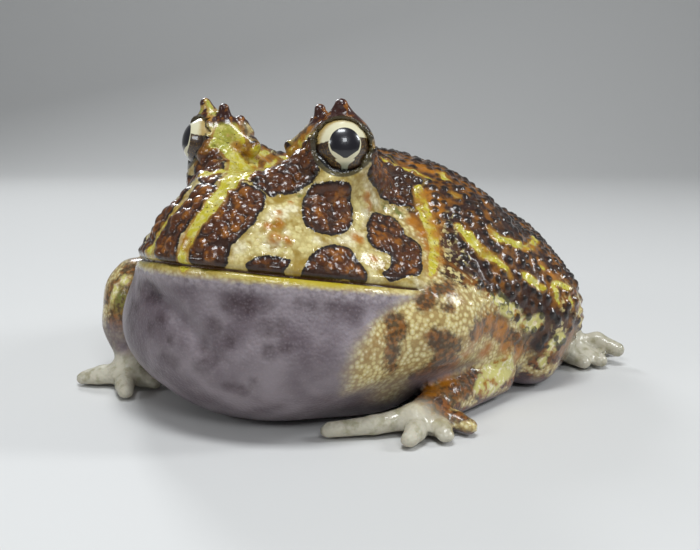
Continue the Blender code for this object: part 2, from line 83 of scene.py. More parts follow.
bpy.ops.object.camera_add(
    location=TO_SCENE @ Vector(CAMERA_PLACE),
    rotation=(math.pi / 2 - CAMERA_PITCH, 0.0, CAMERA_AZIMUTH),
)
camera = bpy.context.object
camera.data.sensor_width = SENSOR_MM
camera.data.lens = FOCAL_PX / PICTURE[0] * SENSOR_MM
camera.data.clip_start = 5 * MM
bpy.context.scene.camera = camera

VIEW_RIGHT = np.array([math.cos(CAMERA_AZIMUTH), math.sin(CAMERA_AZIMUTH), 0.0])
VIEW_AHEAD = np.array([
    -math.sin(CAMERA_AZIMUTH) * math.cos(CAMERA_PITCH),
    math.cos(CAMERA_AZIMUTH) * math.cos(CAMERA_PITCH),
    -math.sin(CAMERA_PITCH),
])
VIEW_UP = np.cross(VIEW_RIGHT, VIEW_AHEAD)


def sight(px, py):
    """The direction in which the camera sees a pixel of the 700 x 550 picture."""
    across = (px - PICTURE[0] / 2) / FOCAL_PX
    down = (py - PICTURE[1] / 2) / FOCAL_PX
    way = VIEW_AHEAD + across * VIEW_RIGHT - down * VIEW_UP
    return way / np.linalg.norm(way)


print("lens:", round(camera.data.lens, 2), "mm")

# %% [markdown]
# A frog's skin is one sheet, so the pieces of the solids have to flow into each other.
# The body is described once more as a distance field: ellipsoids and tapered limbs with
# the sizes of the solids, joined with a fillet. A point's value is how far it is from
# the surface, so a mesh can be slid onto the shape by following the field's slope.

# %% Sizes of the head and trunk
HEAD_PITCH = math.radians(11.4)
JAW_JOINT = np.array([0.0, 0.0, 25.0])
MOUTH_CORNER_F = 12.5
EYE_RADIUS = 5.7
LID_THICKNESS = 0.9
LID_OPENING = 2.9
LID_FACING = np.array([0.54, -0.83, 0.15])
LID_FACING = LID_FACING / np.linalg.norm(LID_FACING)
NOSTRIL = np.array([6.3, 32.6, 16.2])

Blob = namedtuple("Blob", "centre radii blend both")
Horn = namedtuple("Horn", "root tip root_radius tip_radius")
Limb = namedtuple("Limb", "points radii")

UPPER_HEAD = [
    Blob((0, -1, 0), (31, 45, 20), 0, False),
    Blob((0, 23, 6), (15, 18, 13), 8, False),
    Blob((13, 15, 19), (8.5, 11, 8.5), 5, True),
]
BROW_RIDGE = Horn((11, 20, 22.5), (5, 34, 14.5), 2.2, 1.5)
LOWER_JAW = [Blob((0, -1, -1), (30, 43.8, 14), 0, False)]
TRUNK = [
    Blob((0, 16, 21), (43.5, 29.5, 31), 0, False),
    Blob((0, 37.5, 18.8), (37.4, 28.5, 21.8), 9, False),
    Blob((0, 10, 15.5), (40, 25, 14), 8, False),
    Blob((0, 3.5, 34.7), (15.6, 15, 16.3), 10, False),
    Blob((0, -17, 18.0), (32.5, 27, 18.3), 9, False),
]
SAGS = [
    Blob((18, -10, 8.5), (11.5, 12.5, 8.5), 5, True),
    Blob((0, -15, 8.5), (20, 18.5, 8.5), 6, False),
]
HORNS = [
    Horn((17.6, -13.6, 57.4), (16.8, -15.8, 62.2), 2.4, 0.9),
    Horn((14.2, -15.2, 57.6), (16.4, -16.0, 62.2), 2.4, 0.9),
    Horn((11.8, -15.2, 57.0), (11.8, -15.9, 61.2), 2.0, 1.1),
    Horn((8.8, -13.2, 56.2), (9.1, -13.8, 59.0), 2.2, 0.9),
    Horn((11.0, -15.2, 56.4), (5.4, -15.2, 53.4), 2.8, 1.9),
]
print("head and trunk:", len(UPPER_HEAD) + len(LOWER_JAW) + len(TRUNK), "ellipsoids")

# %% Sizes of the arms and legs
SHOULDER = {
    "left": Blob((24.5, -4, 19.5), (17, 18, 13.5), 5, False),
    "right": Blob((-27, -5, 18), (14, 15, 12.5), 5, False),
}
UPPER_ARM = {
    "left": Limb([(30, 7, 15), (37.3, 10.5, 8.3)], (8, 5.2)),
    "right": Limb([(-30.5, -7, 21), (-37.2, -14.5, 18.5), (-37.2, -17, 14)], (10.5, 8.8, 8.0)),
}
FOREARM = {
    "left": Limb([(37.8, 10.8, 5.5), (35.4, -7, 4.7)], (5.1, 4.2)),
    "right": Limb([(-37, -17.5, 11.5), (-34.8, -21.5, 5.5)], (6.6, 4.0)),
}
PALM = {
    "left": Limb([(35.0, -9.5, 4.2), (34.4, -17.5, 3.2)], (3.6, 3.0)),
    "right": Limb([(-35, -22, 4.2), (-34.8, -24.5, 3.0)], (3.6, 2.8)),
}
FINGERS = {
    "left": [
        [(33, -18, 3.2), (28, -23, 2.2), (21.5, -28.5, 1.7)],
        [(35, -18, 3.2), (36.5, -22, 2.2), (36.8, -25, 1.7)],
        [(36, -15.5, 3.0), (39.5, -17.5, 2.2), (41.4, -19.4, 1.7)],
        [(36.5, -12.5, 3.0), (40.4, -12.6, 2.2), (43.4, -13.2, 1.7)],
    ],
    "right": [
        [(-33.5, -23.5, 3.0), (-30.5, -23.3, 2.2), (-27.5, -23, 1.7)],
        [(-34.2, -25, 3.0), (-30.8, -28.6, 2.2), (-28.2, -31, 1.7)],
        [(-36, -25, 3.0), (-40.2, -27, 2.2), (-43.4, -28.4, 1.6)],
        [(-36.5, -23.5, 3.0), (-40.8, -24.9, 2.2), (-43.8, -26, 1.6)],
    ],
}
THIGH = Limb([(21, 46.5, 19), (38, 28.5, 16.2)], (15, 12.8))
SHIN = Limb([(40.5, 24, 7.8), (39.5, 49, 6.3)], (7.9, 5.6))
TARSUS = Limb([(38.5, 50, 5.2), (42.5, 47.5, 3.6)], (4.8, 3.6))
TOES = [
    [(41, 45.5, 3.0), (45.5, 43, 2.2), (48.6, 41.2, 1.7)],
    [(42, 46, 3.0), (47.5, 45.5, 2.4), (51.6, 44.6, 1.8)],
    [(43, 48, 3.8), (49, 49.8, 5.4), (54.2, 49.3, 3.9)],
    [(42, 50, 3.0), (46.8, 53.8, 2.2), (50.6, 57, 1.7)],
    [(41, 51, 3.0), (43.4, 56, 2.2), (45.4, 60.5, 1.7)],
]
DIGIT_RADII = (2.3, 1.9, 1.7)
print("digits:", sum(len(f) for f in FINGERS.values()) + 2 * len(TOES))

# %% [markdown]
# The head has a frame of its own, pitched back about the jaw joint: x to the left,
# f forward and u up. The mouth is then simply the plane u = 0.

# %% Distances
def to_head(points):
    """Points of the frog's frame in the head's own frame (x, f, u)."""
    q = points - JAW_JOINT
    c, s = math.cos(HEAD_PITCH), math.sin(HEAD_PITCH)
    return np.stack([q[:, 0], -c * q[:, 1] + s * q[:, 2], s * q[:, 1] + c * q[:, 2]], 1)


def mirrored(points):
    """Points folded onto the left side, for what both sides share."""
    q = points.copy()
    q[:, 0] = np.abs(q[:, 0])
    return q


def ellipsoid(points, centre, radii):
    q = points - np.array(centre, float)
    r = np.array(radii, float)
    k0 = np.sqrt(((q / r) ** 2).sum(1))
    k1 = np.sqrt(((q / r**2) ** 2).sum(1)) + 1e-9
    return k0 * (k0 - 1.0) / k1


def tapered(points, a, b, radius_a, radius_b):
    a, b = np.array(a, float), np.array(b, float)
    ab = b - a
    t = np.clip(((points - a) @ ab) / (ab @ ab), 0, 1)
    gap = np.sqrt(((points - a - t[:, None] * ab) ** 2).sum(1))
    return gap - (radius_a + (radius_b - radius_a) * t)


def join(a, b, blend):
    """Union of two distances, with a fillet about as wide as blend."""
    h = np.maximum(blend - np.abs(a - b), 0) / blend
    return np.minimum(a, b) - h * h * blend * 0.25


def carve(a, b, blend):
    """Intersection of two distances with a rounded edge."""
    return -join(-a, -b, blend)


def blobs(points, shapes):
    folded = mirrored(points)
    distance = None
    for shape in shapes:
        one = ellipsoid(folded if shape.both else points, shape.centre, shape.radii)
        distance = one if distance is None else join(distance, one, shape.blend)
    return distance


def limb_field(points, limb, blend=2.0):
    distance = None
    for i in range(len(limb.points) - 1):
        ends = limb.points[i], limb.points[i + 1]
        one = tapered(points, *ends, limb.radii[i], limb.radii[i + 1])
        distance = one if distance is None else join(distance, one, blend)
    return distance


# %% [markdown]
# The lids are a thin shell round each eyeball, opened towards where the eye looks. The
# horns are the soft, fleshy peaks of the upper lids, so they belong to the skin as well.

# %% The whole frog as one field
LID_BLEND, LID_RIM, BROW_BLEND, HORN_BLEND = 3.5, 0.6, 4.0, 1.2
MOUTH_BLEND, BODY_BLEND, THIGH_BLEND, SHIN_BLEND = 1.0, 7.0, 9.0, 2.5
ARM_BLEND, SHOULDER_BLEND, HAND_BLEND, DIGIT_BLEND = 5.0, 4.0, 1.5, 1.0
ELBOW_BLEND = {"left": 0.8, "right": 2.5}
FLOOR_ROUNDING, SOCKET_RIM, SOCKET_GAP = 2.0, 0.3, 0.06


def head_field(points):
    local, folded = to_head(points), mirrored(points)
    distance = blobs(local, UPPER_HEAD)
    distance = join(distance, tapered(mirrored(local), *BROW_RIDGE), BROW_BLEND)
    from_eye = folded - EYE_CENTRE
    lid = np.sqrt((from_eye**2).sum(1)) - (EYE_RADIUS + LID_THICKNESS)
    lid = carve(lid, from_eye @ LID_FACING - LID_OPENING, LID_RIM)
    distance = join(distance, lid, LID_BLEND)
    for horn in HORNS:
        distance = join(distance, tapered(folded, *horn), HORN_BLEND)
    return distance


def digits_field(points, palm, digits):
    distance = limb_field(points, palm)
    for digit in digits:
        one = limb_field(points, Limb(digit, DIGIT_RADII), DIGIT_BLEND)
        distance = join(distance, one, HAND_BLEND)
    return distance


def lower_arm_field(points, side):
    hand = digits_field(points, PALM[side], FINGERS[side])
    return join(limb_field(points, FOREARM[side]), hand, HAND_BLEND)


def lower_arms(points):
    return np.minimum(lower_arm_field(points, "left"), lower_arm_field(points, "right"))


def skin_field(points):
    """Distance to the skin of the whole frog, in mm."""
    folded = mirrored(points)
    distance = join(head_field(points), blobs(to_head(points), LOWER_JAW), MOUTH_BLEND)
    distance = join(distance, blobs(points, TRUNK), BODY_BLEND)
    for sag in SAGS:
        distance = join(distance, ellipsoid(folded, sag.centre, sag.radii), sag.blend)
    distance = join(distance, limb_field(folded, THIGH), THIGH_BLEND)
    distance = join(distance, limb_field(folded, SHIN), SHIN_BLEND)
    distance = join(distance, digits_field(folded, TARSUS, TOES), HAND_BLEND)
    for side in ("left", "right"):
        shoulder = ellipsoid(points, SHOULDER[side].centre, SHOULDER[side].radii)
        arm = join(shoulder, limb_field(points, UPPER_ARM[side]), ARM_BLEND)
        distance = join(distance, arm, SHOULDER_BLEND)
        distance = join(distance, lower_arm_field(points, side), ELBOW_BLEND[side])
    distance = carve(distance, -points[:, 2], FLOOR_ROUNDING)
    eyeball = np.sqrt(((folded - EYE_CENTRE) ** 2).sum(1)) - (EYE_RADIUS + SOCKET_GAP)
    return carve(distance, -eyeball, SOCKET_RIM)


print("field 10 mm above the crown:", skin_field(np.array([[0.0, 3.5, 61.0]])).round(2))

# %% The slope of the field
SLOPE_STEP = 0.04


def value_and_slope(points):
    """The field at the points and its slope, by a small step along each axis."""
    value = skin_field(points)
    steps = np.eye(3) * SLOPE_STEP
    columns = [(skin_field(points + step) - value) / SLOPE_STEP for step in steps]
    return value, np.stack(columns, 1)


def outward(points):
    slope = value_and_slope(points)[1]
    return slope / (np.linalg.norm(slope, axis=1)[:, None] + 1e-9)


def slide_on(points, steps, most=1.5):
    """Moves points along the field's slope until they lie on the skin."""
    for _ in range(steps):
        value, slope = value_and_slope(points)
        size = (slope**2).sum(1) + 1e-6
        move = -(value / size)[:, None] * slope
        length = np.linalg.norm(move, axis=1)[:, None] + 1e-9
        points = points + move * np.minimum(1.0, most / length)
    return points


print("way out at the crown:", outward(np.array([[0.0, 3.5, 51.0]])).round(2))

# %% [markdown]
# The skin starts from the solids themselves. Copies of the flesh pieces are swollen a
# little, so that they close the thin seams between them, joined into one object and
# given a new, even mesh by a voxel Remesh modifier. The eyes are left out: they stay
# pieces of their own.

# %% Small mesh helpers
def coordinates(mesh):
    flat = np.empty(len(mesh.vertices) * 3, np.float32)
    mesh.vertices.foreach_get("co", flat)
    return flat.reshape(-1, 3).astype(float)


def place_vertices(mesh, points):
    mesh.vertices.foreach_set("co", points.astype(np.float32).ravel())
    mesh.update()


def face_centres(mesh):
    flat = np.empty(len(mesh.polygons) * 3, np.float32)
    mesh.polygons.foreach_get("center", flat)
    return flat.reshape(-1, 3).astype(float)


def make_active(thing):
    bpy.ops.object.select_all(action="DESELECT")
    thing.select_set(True)
    bpy.context.view_layer.objects.active = thing


def apply_modifier(thing, kind, **settings):
    make_active(thing)
    modifier = thing.modifiers.new(kind.lower(), kind)
    for key, value in settings.items():
        setattr(modifier, key, value)
    bpy.ops.object.modifier_apply(modifier=modifier.name)


def triangle_count(thing):
    thing.data.calc_loop_triangles()
    return len(thing.data.loop_triangles)


# %% One closed skin over the flesh
SEAM_SWELL = 0.36
SKIN_VOXEL = 1.38
DIGITS_START_Y = {"hand_left": -14.0, "hand_right": -23.0}
DIGIT_FLATTENING = 0.65


def flatten_digits(mesh, name):
    """Low digits leave room under the body, so the remesh can't bridge that gap."""
    points = coordinates(mesh)
    if name in DIGITS_START_Y:
        points[points[:, 1] < DIGITS_START_Y[name], 2] *= DIGIT_FLATTENING
    place_vertices(mesh, points)


flesh_names = sorted(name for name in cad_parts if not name.startswith("eye"))
pieces = []
for name in flesh_names:
    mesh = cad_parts[name].data.copy()
    mesh.transform(TO_FROG)
    flatten_digits(mesh, name)
    piece = bpy.data.objects.new("flesh_" + name, mesh)
    bpy.context.scene.collection.objects.link(piece)
    mesh.materials.clear()
    apply_modifier(piece, "WELD", merge_threshold=0.001)
    apply_modifier(piece, "DISPLACE", strength=SEAM_SWELL, mid_level=0.0)
    pieces.append(piece)
for sag in SAGS:
    for sign in ((1, -1) if sag.both else (1,)):
        centre = Vector(sag.centre) * Vector((sign, 1, 1))
        bpy.ops.mesh.primitive_uv_sphere_add(radius=1, scale=sag.radii, location=centre)
        bpy.ops.object.transform_apply(location=True, rotation=True, scale=True)
        pieces.append(bpy.context.object)
bpy.ops.object.select_all(action="DESELECT")
for piece in pieces:
    piece.select_set(True)
bpy.context.view_layer.objects.active = pieces[0]
bpy.ops.object.join()
skin = bpy.context.object
skin.name = "skin"
skin.data.name = "skin"
apply_modifier(skin, "REMESH", mode="VOXEL", voxel_size=SKIN_VOXEL)
print("skin base:", triangle_count(skin), "triangles from", len(flesh_names), "pieces")

# %% [markdown]
# Remesh can leave a closed pocket where two swollen pieces meet deep inside, so only the
# outer sheet is kept. Then the mesh is slid onto the field and evened out by turns.

# %% Keep the outer sheet and slide it onto the field
def keep_largest(thing):
    """Deletes every closed sheet but the largest and returns how many there were."""
    mesh = bmesh.new()
    mesh.from_mesh(thing.data)
    unseen, islands = set(mesh.verts), []
    while unseen:
        island, front = set(), [unseen.pop()]
        while front:
            vertex = front.pop()
            island.add(vertex)
            for link in vertex.link_edges:
                other = link.other_vert(vertex)
                if other in unseen:
                    unseen.remove(other)
                    front.append(other)
        islands.append(island)
    islands.sort(key=len)
    scraps = [vertex for island in islands[:-1] for vertex in island]
    bmesh.ops.delete(mesh, geom=scraps, context="VERTS")
    mesh.to_mesh(thing.data)
    mesh.free()
    return len(islands)


TOES_X, TOES_Y, TOES_TOP = 43.5, 36.0, 8.5
FINGERS_Y = {"left": -16.0, "right": -24.0}
FINGERS_TOP, FINGERS_NEAR = 5.0, 1.2
DIGIT_EVENNESS = 0.3


def near_toes(points):
    return (np.abs(points[:, 0]) > TOES_X) & (points[:, 2] < TOES_TOP) & (points[:, 1] > TOES_Y)


def even_out(thing, passes):
    """Smooths the mesh, the thin digits less, so that they don't shrink."""
    apply_modifier(thing, "SMOOTH", factor=0.5, iterations=passes, vertex_group="evenness")


print("closed sheets found:", keep_largest(skin))
start = coordinates(skin.data)
fingers_start = np.where(start[:, 0] > 0, FINGERS_Y["left"], FINGERS_Y["right"])
thin = (start[:, 2] < FINGERS_TOP) & (start[:, 1] < fingers_start) & (lower_arms(start) < FINGERS_NEAR)
thin |= near_toes(start)
evenness = skin.vertex_groups.new(name="evenness")
evenness.add(np.flatnonzero(~thin).tolist(), 1.0, "REPLACE")
evenness.add(np.flatnonzero(thin).tolist(), DIGIT_EVENNESS, "REPLACE")
even_out(skin, 3)
for passes in (5, 4, 2):
    place_vertices(skin.data, slide_on(coordinates(skin.data), 2))
    even_out(skin, passes)


FOLDED_BELOW = 0.4


def folded_faces(thing):
    """How many faces look away from the way the skin faces there."""
    normals = np.empty(len(thing.data.polygons) * 3, np.float32)
    thing.data.polygons.foreach_get("normal", normals)
    return int(((normals.reshape(-1, 3) * outward(face_centres(thing.data))).sum(1) < FOLDED_BELOW).sum())


print("folded faces:", folded_faces(skin))

# %% [markdown]
# Fine forms need a finer mesh, and only where they are: on the face, the lids, the lips,
# the back with its warts, and the hands and feet. Those faces are selected by their
# place and subdivided in edit mode, and the new vertices are slid onto the field too.

# %% Finer mesh where the detail is
def refine(thing, where):
    """Subdivides the faces that where(centres) picks, and slides the result on."""
    picked = where(face_centres(thing.data))
    make_active(thing)
    bpy.context.tool_settings.mesh_select_mode = (False, False, True)
    bpy.ops.object.mode_set(mode="EDIT")
    bpy.ops.mesh.select_all(action="DESELECT")
    bpy.ops.object.mode_set(mode="OBJECT")
    thing.data.polygons.foreach_set("select", picked)
    bpy.ops.object.mode_set(mode="EDIT")
    bpy.ops.mesh.subdivide(number_cuts=1)
    bpy.ops.mesh.select_face_by_sides(number=4, type="GREATER", extend=False)
    bpy.ops.mesh.quads_convert_to_tris(ngon_method="BEAUTY")
    bpy.ops.object.mode_set(mode="OBJECT")
    even_out(thing, 1)
    place_vertices(thing.data, slide_on(coordinates(thing.data), 2))
    return int(picked.sum())


FACE_F, FACE_U = 2.0, -1.8
BACK_END_F = 12.0
LOW_FLANK, REAR_FLANK, FLANK_START_Y, FLANK_END_Y = 12.0, 19.0, -4.0, 40.0
LID_REACH, LID_FRONT_Y, HORNS_FROM = 7.4, -12.0, 58.0
LIP_HEIGHT = 0.8


def on_face(points):
    f, u = to_head(points).T[1:]
    return (f > FACE_F) & (u > FACE_U)


def on_back(points):
    f, u = to_head(points).T[1:]
    on_flank = (points[:, 1] > FLANK_START_Y) & (points[:, 1] < FLANK_END_Y)
    low = np.where(on_flank, LOW_FLANK, REAR_FLANK)
    return ((f <= FACE_F) | (u <= FACE_U)) & (f < BACK_END_F) & (points[:, 2] > low)


def on_digits(points):
    hands = lower_arms(points) < 0.4
    return (hands | near_toes(points)) & (points[:, 2] > 0.3)


def on_lids_and_lips(points):
    f, u = to_head(points).T[1:]
    from_eye = np.linalg.norm(mirrored(points) - EYE_CENTRE, axis=1)
    lids = (from_eye < LID_REACH) & (points[:, 1] < LID_FRONT_Y)
    horns = points[:, 2] > HORNS_FROM
    return lids | horns | ((np.abs(u) < LIP_HEIGHT) & (f > MOUTH_CORNER_F))


for spot in (on_face, on_back, on_digits, on_lids_and_lips):
    print(spot.__name__, refine(skin, spot), "faces subdivided")
print("skin:", triangle_count(skin), "triangles,", folded_faces(skin), "folded faces")

# %% [markdown]
# Marks are laid on the skin by looking through the camera: a pixel of the photograph
# becomes a point where its sight line meets the skin. From there on a mark is a line or
# an outline in space, measured in millimetres along the skin, so it keeps its shape from
# every side. Its twin on the other side is the same mark mirrored.

# %% From pixels to places on the skin
skin_hits = BVHTree.FromPolygons(
    coordinates(skin.data).tolist(), [list(p.vertices) for p in skin.data.polygons]
)


def on_skin(pixels):
    """Where the sight lines of these pixels meet the skin. Those that miss are left out."""
    found = []
    for px, py in pixels:
        hit, _, _, _ = skin_hits.ray_cast(Vector(CAMERA_PLACE), Vector(sight(px, py)))
        if hit is not None:
            found.append(np.array(hit))
    return np.array(found)


def rounded(points, closed, pieces=5):
    """A smooth curve through the points (Catmull-Rom)."""
    count = len(points)
    curve = []
    for i in range(count if closed else count - 1):
        if closed:
            p0, p1, p2, p3 = (points[(i + k) % count] for k in (-1, 0, 1, 2))
        else:
            p0, p1, p2, p3 = (points[min(max(i + k, 0), count - 1)] for k in (-1, 0, 1, 2))
        for j in range(pieces):
            t = j / pieces
            curve.append(0.5 * (2 * p1 + (p2 - p0) * t + (2 * p0 - 5 * p1 + 4 * p2 - p3) * t**2
                                + (3 * p1 - p0 - 3 * p2 + p3) * t**3))
    if not closed:
        curve.append(points[-1])
    return np.array(curve)


print("midline of the lip on the skin:", on_skin([(187, 262)]).round(1))

# %% Distances to outlines and lines
def patch_distance(points, outline, depth):
    """Signed distance in mm to an outline in its own plane, negative inside."""
    centre = outline.mean(0)
    axes = np.linalg.svd(outline - centre)[2]
    flat = (outline - centre) @ axes[:2].T
    local = points - centre
    q = local @ axes[:2].T
    off = np.abs(local @ axes[2]) - depth
    nearest = np.full(len(points), np.inf)
    inside = np.zeros(len(points), bool)
    for a, b in zip(flat, np.roll(flat, -1, 0)):
        ab = b - a
        t = np.clip(((q - a) @ ab) / (ab @ ab + 1e-12), 0, 1)
        nearest = np.minimum(nearest, ((q - a - t[:, None] * ab) ** 2).sum(1))
        crosses = (a[1] > q[:, 1]) != (b[1] > q[:, 1])
        rise = b[1] - a[1] if abs(b[1] - a[1]) > 1e-12 else 1e-12
        inside ^= crosses & (q[:, 0] < ab[0] * (q[:, 1] - a[1]) / rise + a[0])
    distance = np.sqrt(nearest)
    return np.maximum(np.where(inside, -distance, distance), off)


def line_distance(points, line, widths):
    """Signed distance in mm to a line whose half width changes along it."""
    nearest = np.full(len(points), np.inf)
    for i in range(len(line) - 1):
        part = tapered(points, line[i], line[i + 1], widths[i], widths[i + 1])
        nearest = np.minimum(nearest, part)
    return nearest


# in mm: the value far from a mark, how far round it the distance is measured, and how
# deep into the body a patch reaches on the cheek, elsewhere and along the back
FAR, REACH = 9.0, 13.0
CHEEK_DEPTH, PATCH_DEPTH, BACK_DEPTH = 6.0, 8.0, 16.0


def sides_of(mark, twin):
    """The mark itself and, if it has one, its twin on the other side."""
    return [mark, mark * (-1, 1, 1)] if twin else [mark]


def lower(values, points, mark, measure):
    """Lowers values to a new distance, measured only at points near the mark."""
    low, high = mark.min(0) - REACH, mark.max(0) + REACH
    near = ((points > low) & (points < high)).all(1)
    if near.any():
        values[near] = np.minimum(values[near], measure(points[near]))


def lay_patches(values, points, patches, twin, depth=PATCH_DEPTH):
    for pixels in patches:
        for outline in sides_of(on_skin(pixels), twin):
            curve = rounded(outline, True)
            lower(values, points, curve, lambda q: patch_distance(q, curve, depth))


def lay_lines(values, points, lines, twin):
    for stroke in lines:
        line = on_skin([mark[:2] for mark in stroke])
        if len(line) < len(stroke):
            print("a line misses the skin:", stroke)
            continue
        widths = rounded(np.array([mark[2] for mark in stroke], float), False)
        for side in sides_of(line, twin):
            curve = rounded(side, False)
            lower(values, points, curve, lambda q: line_distance(q, curve, widths))


print("twins of a point:", sides_of(np.array([1.0, 2.0, 3.0]), True))

# %% [markdown]
# The dark marks of the face are brown blotches with a dark rim, each with its own shape.
# Seen ones are outlined one by one; those of the cheek have a twin on the other cheek.

# %% Outlines of the dark blotches
SNOUT_BLOTCHES = [
    # big blotch beside the midline stripe
    [(230, 188), (243, 184), (256, 187), (265, 196), (265, 206), (259, 216), (254, 224), (247, 232),
     (239, 239), (231, 246), (229, 256), (227, 266), (217, 272), (204, 270), (192, 265), (189, 253),
     (193, 242), (200, 230), (209, 216), (219, 202)],
    # the other half of the snout
    [(197, 187), (208, 185), (218, 187), (213, 196), (205, 206), (196, 216), (188, 227), (182, 238),
     (180, 248), (179, 258), (179, 266), (172, 267), (163, 263), (156, 255), (156, 246), (161, 234),
     (168, 222), (176, 211), (187, 200)],
    [(147, 252), (147, 243), (153, 230), (161, 215), (172, 200), (180, 190), (190, 188), (183, 199),
     (172, 213), (163, 226), (155, 240), (151, 249)],
]
CHEEK_BLOTCHES = [
    # between nostril, eye and big blotch
    [(252, 184), (262, 176), (274, 169), (286, 160), (296, 151), (304, 143), (311, 139), (313, 148),
     (316, 160), (321, 171), (317, 177), (310, 184), (303, 189), (291, 195), (279, 196), (270, 197),
     (262, 191)],
    # on the upper lip
    [(246, 264), (253, 258), (264, 256), (280, 258), (290, 260), (289, 266), (284, 271), (285, 276),
     (276, 276), (262, 276), (253, 274), (248, 270)],
    # round one below the eye
    [(301, 207), (303, 199), (308, 190), (316, 184), (326, 182), (340, 181), (350, 184), (351, 192),
     (351, 202), (353, 212), (352, 222), (348, 230), (342, 234), (333, 236), (323, 234), (313, 232),
     (306, 226), (302, 217)],
    # behind the eye
    [(370, 151), (380, 158), (398, 166), (414, 175), (424, 182), (416, 187), (413, 191), (415, 198),
     (417, 207), (413, 210), (404, 206), (396, 206), (386, 203), (378, 194), (371, 182), (367, 176),
     (370, 165)],
    # rear cheek
    [(366, 226), (369, 218), (372, 212), (380, 213), (392, 217), (399, 222), (403, 229), (404, 235),
     (411, 238), (418, 243), (422, 250), (421, 258), (423, 266), (421, 274), (415, 279), (405, 279),
     (396, 282), (389, 282), (384, 278), (381, 272), (388, 268), (391, 262), (391, 256), (384, 252),
     (376, 250), (370, 244), (367, 236)],
    # half moon on the lip
    [(300, 276), (301, 270), (306, 262), (312, 254), (320, 248), (330, 245), (340, 245), (348, 248),
     (354, 254), (360, 264), (364, 273), (367, 282), (362, 284), (352, 281), (330, 279), (312, 279),
     (303, 278)],
]
LID_HOLLOWS = [
    # brown hollow in front of the right eye
    [(202, 133), (211, 141), (219, 149), (224, 158), (225, 168), (221, 180), (213, 186), (204, 186),
     (198, 180), (197, 165), (199, 150), (200, 140)],
]
print("blotches:", len(SNOUT_BLOTCHES) + len(CHEEK_BLOTCHES) + len(LID_HOLLOWS))

# %% Yellow lines and patches
# a line's third number is its half width in mm
MIDLINE_STRIPE = [
    (249, 165, 2.0), (243, 172, 1.8), (236, 181, 1.5), (223, 190, 1.3), (217, 201, 1.45), (208.5, 212, 1.3),
    (198.5, 222.5, 1.25), (191.5, 233.5, 1.1), (187, 244, 1.0), (184, 255, 0.9), (184, 266, 1.0),
]
RIGHT_LID_FRONT = [
    # the yellow front of the right eyelid, running down into the midline stripe
    [(206, 99), (213, 108), (221, 111), (229, 116), (236, 123), (241, 133), (245, 142), (255, 147),
     (263, 150), (270, 153), (262, 160), (253, 167), (244, 175), (236, 182), (228, 189), (222, 186),
     (226, 176), (228, 168), (226, 158), (220, 148), (211, 140), (204, 134), (203, 127), (210, 120),
     (209, 110), (206, 104)],
]
RIGHT_SNOUT_LINE = [
    (183, 202, 0.25), (172, 215, 0.3), (162, 229, 0.35), (156, 241, 0.45), (152, 252, 0.8), (151, 260, 0.9),
]
BROW_LINE = [
    (244, 180, 0.7), (256, 172.5, 0.75), (270, 165, 0.65), (284, 157, 0.6), (293, 151, 0.7),
    (301, 142, 0.75), (309, 135, 0.5),
]
BACK_LINES = [
    [(381, 160, 0.25), (397, 166, 0.4), (408, 170, 0.4), (419, 174, 0.3), (432, 180, 0.2)],
    [(438, 173, 0.7), (446, 180, 0.9)],
    [(453, 194, 0.8), (456, 196, 0.8)],
    [(456, 226, 0.4), (465, 234, 0.9), (473.6, 243, 1.15), (480, 251, 1.3), (489, 256, 0.9), (498, 262, 0.8),
     (505, 269, 0.8), (511, 276, 0.5)],
    [(522, 275, 0.7), (532, 281, 1.1), (542, 289, 0.6)],
    [(489, 229, 0.5), (494, 237, 0.7), (503, 240, 0.8), (512, 243, 1.0), (522, 247, 0.8), (530, 247, 0.8),
     (534, 240, 0.9)],
    [(541, 267, 0.5), (543, 268, 0.5)],
    [(552, 284, 0.5), (555, 295, 0.5), (560, 305, 0.4)],
    [(554, 282, 0.6), (566, 287, 0.8)],
    [(569, 298, 0.5), (572, 305, 0.6)],
]
CREAM_MOTTLES = [
    [(489, 294), (499, 292), (509, 302), (521, 311), (516, 319), (506, 316), (496, 307)],
    [(516, 324), (522, 317), (532, 316), (542, 314), (543, 324), (537, 329), (526, 331)],
    [(546, 347), (552, 339), (560, 331), (564, 337), (557, 347), (551, 355), (544, 354)],
    [(539, 360), (544, 358), (547, 364), (541, 367)],
    [(474, 392), (480, 376), (490, 362), (503, 356), (512, 358), (513, 370), (503, 384), (488, 396)],
]
CHEEK_BAND = [
    [(414, 189), (421, 189), (428, 205), (434, 222), (438, 240), (439, 258), (436, 271), (429, 276),
     (429, 262), (429, 248), (426, 234), (421, 220), (416, 207)],
]
ARM_STRIPE = [[(141, 273, 0.5), (125, 280, 0.9), (115, 292, 0.9), (111, 306, 0.5)]]
print("yellow lines:", 4 + len(BACK_LINES), "cream mottles:", len(CREAM_MOTTLES))

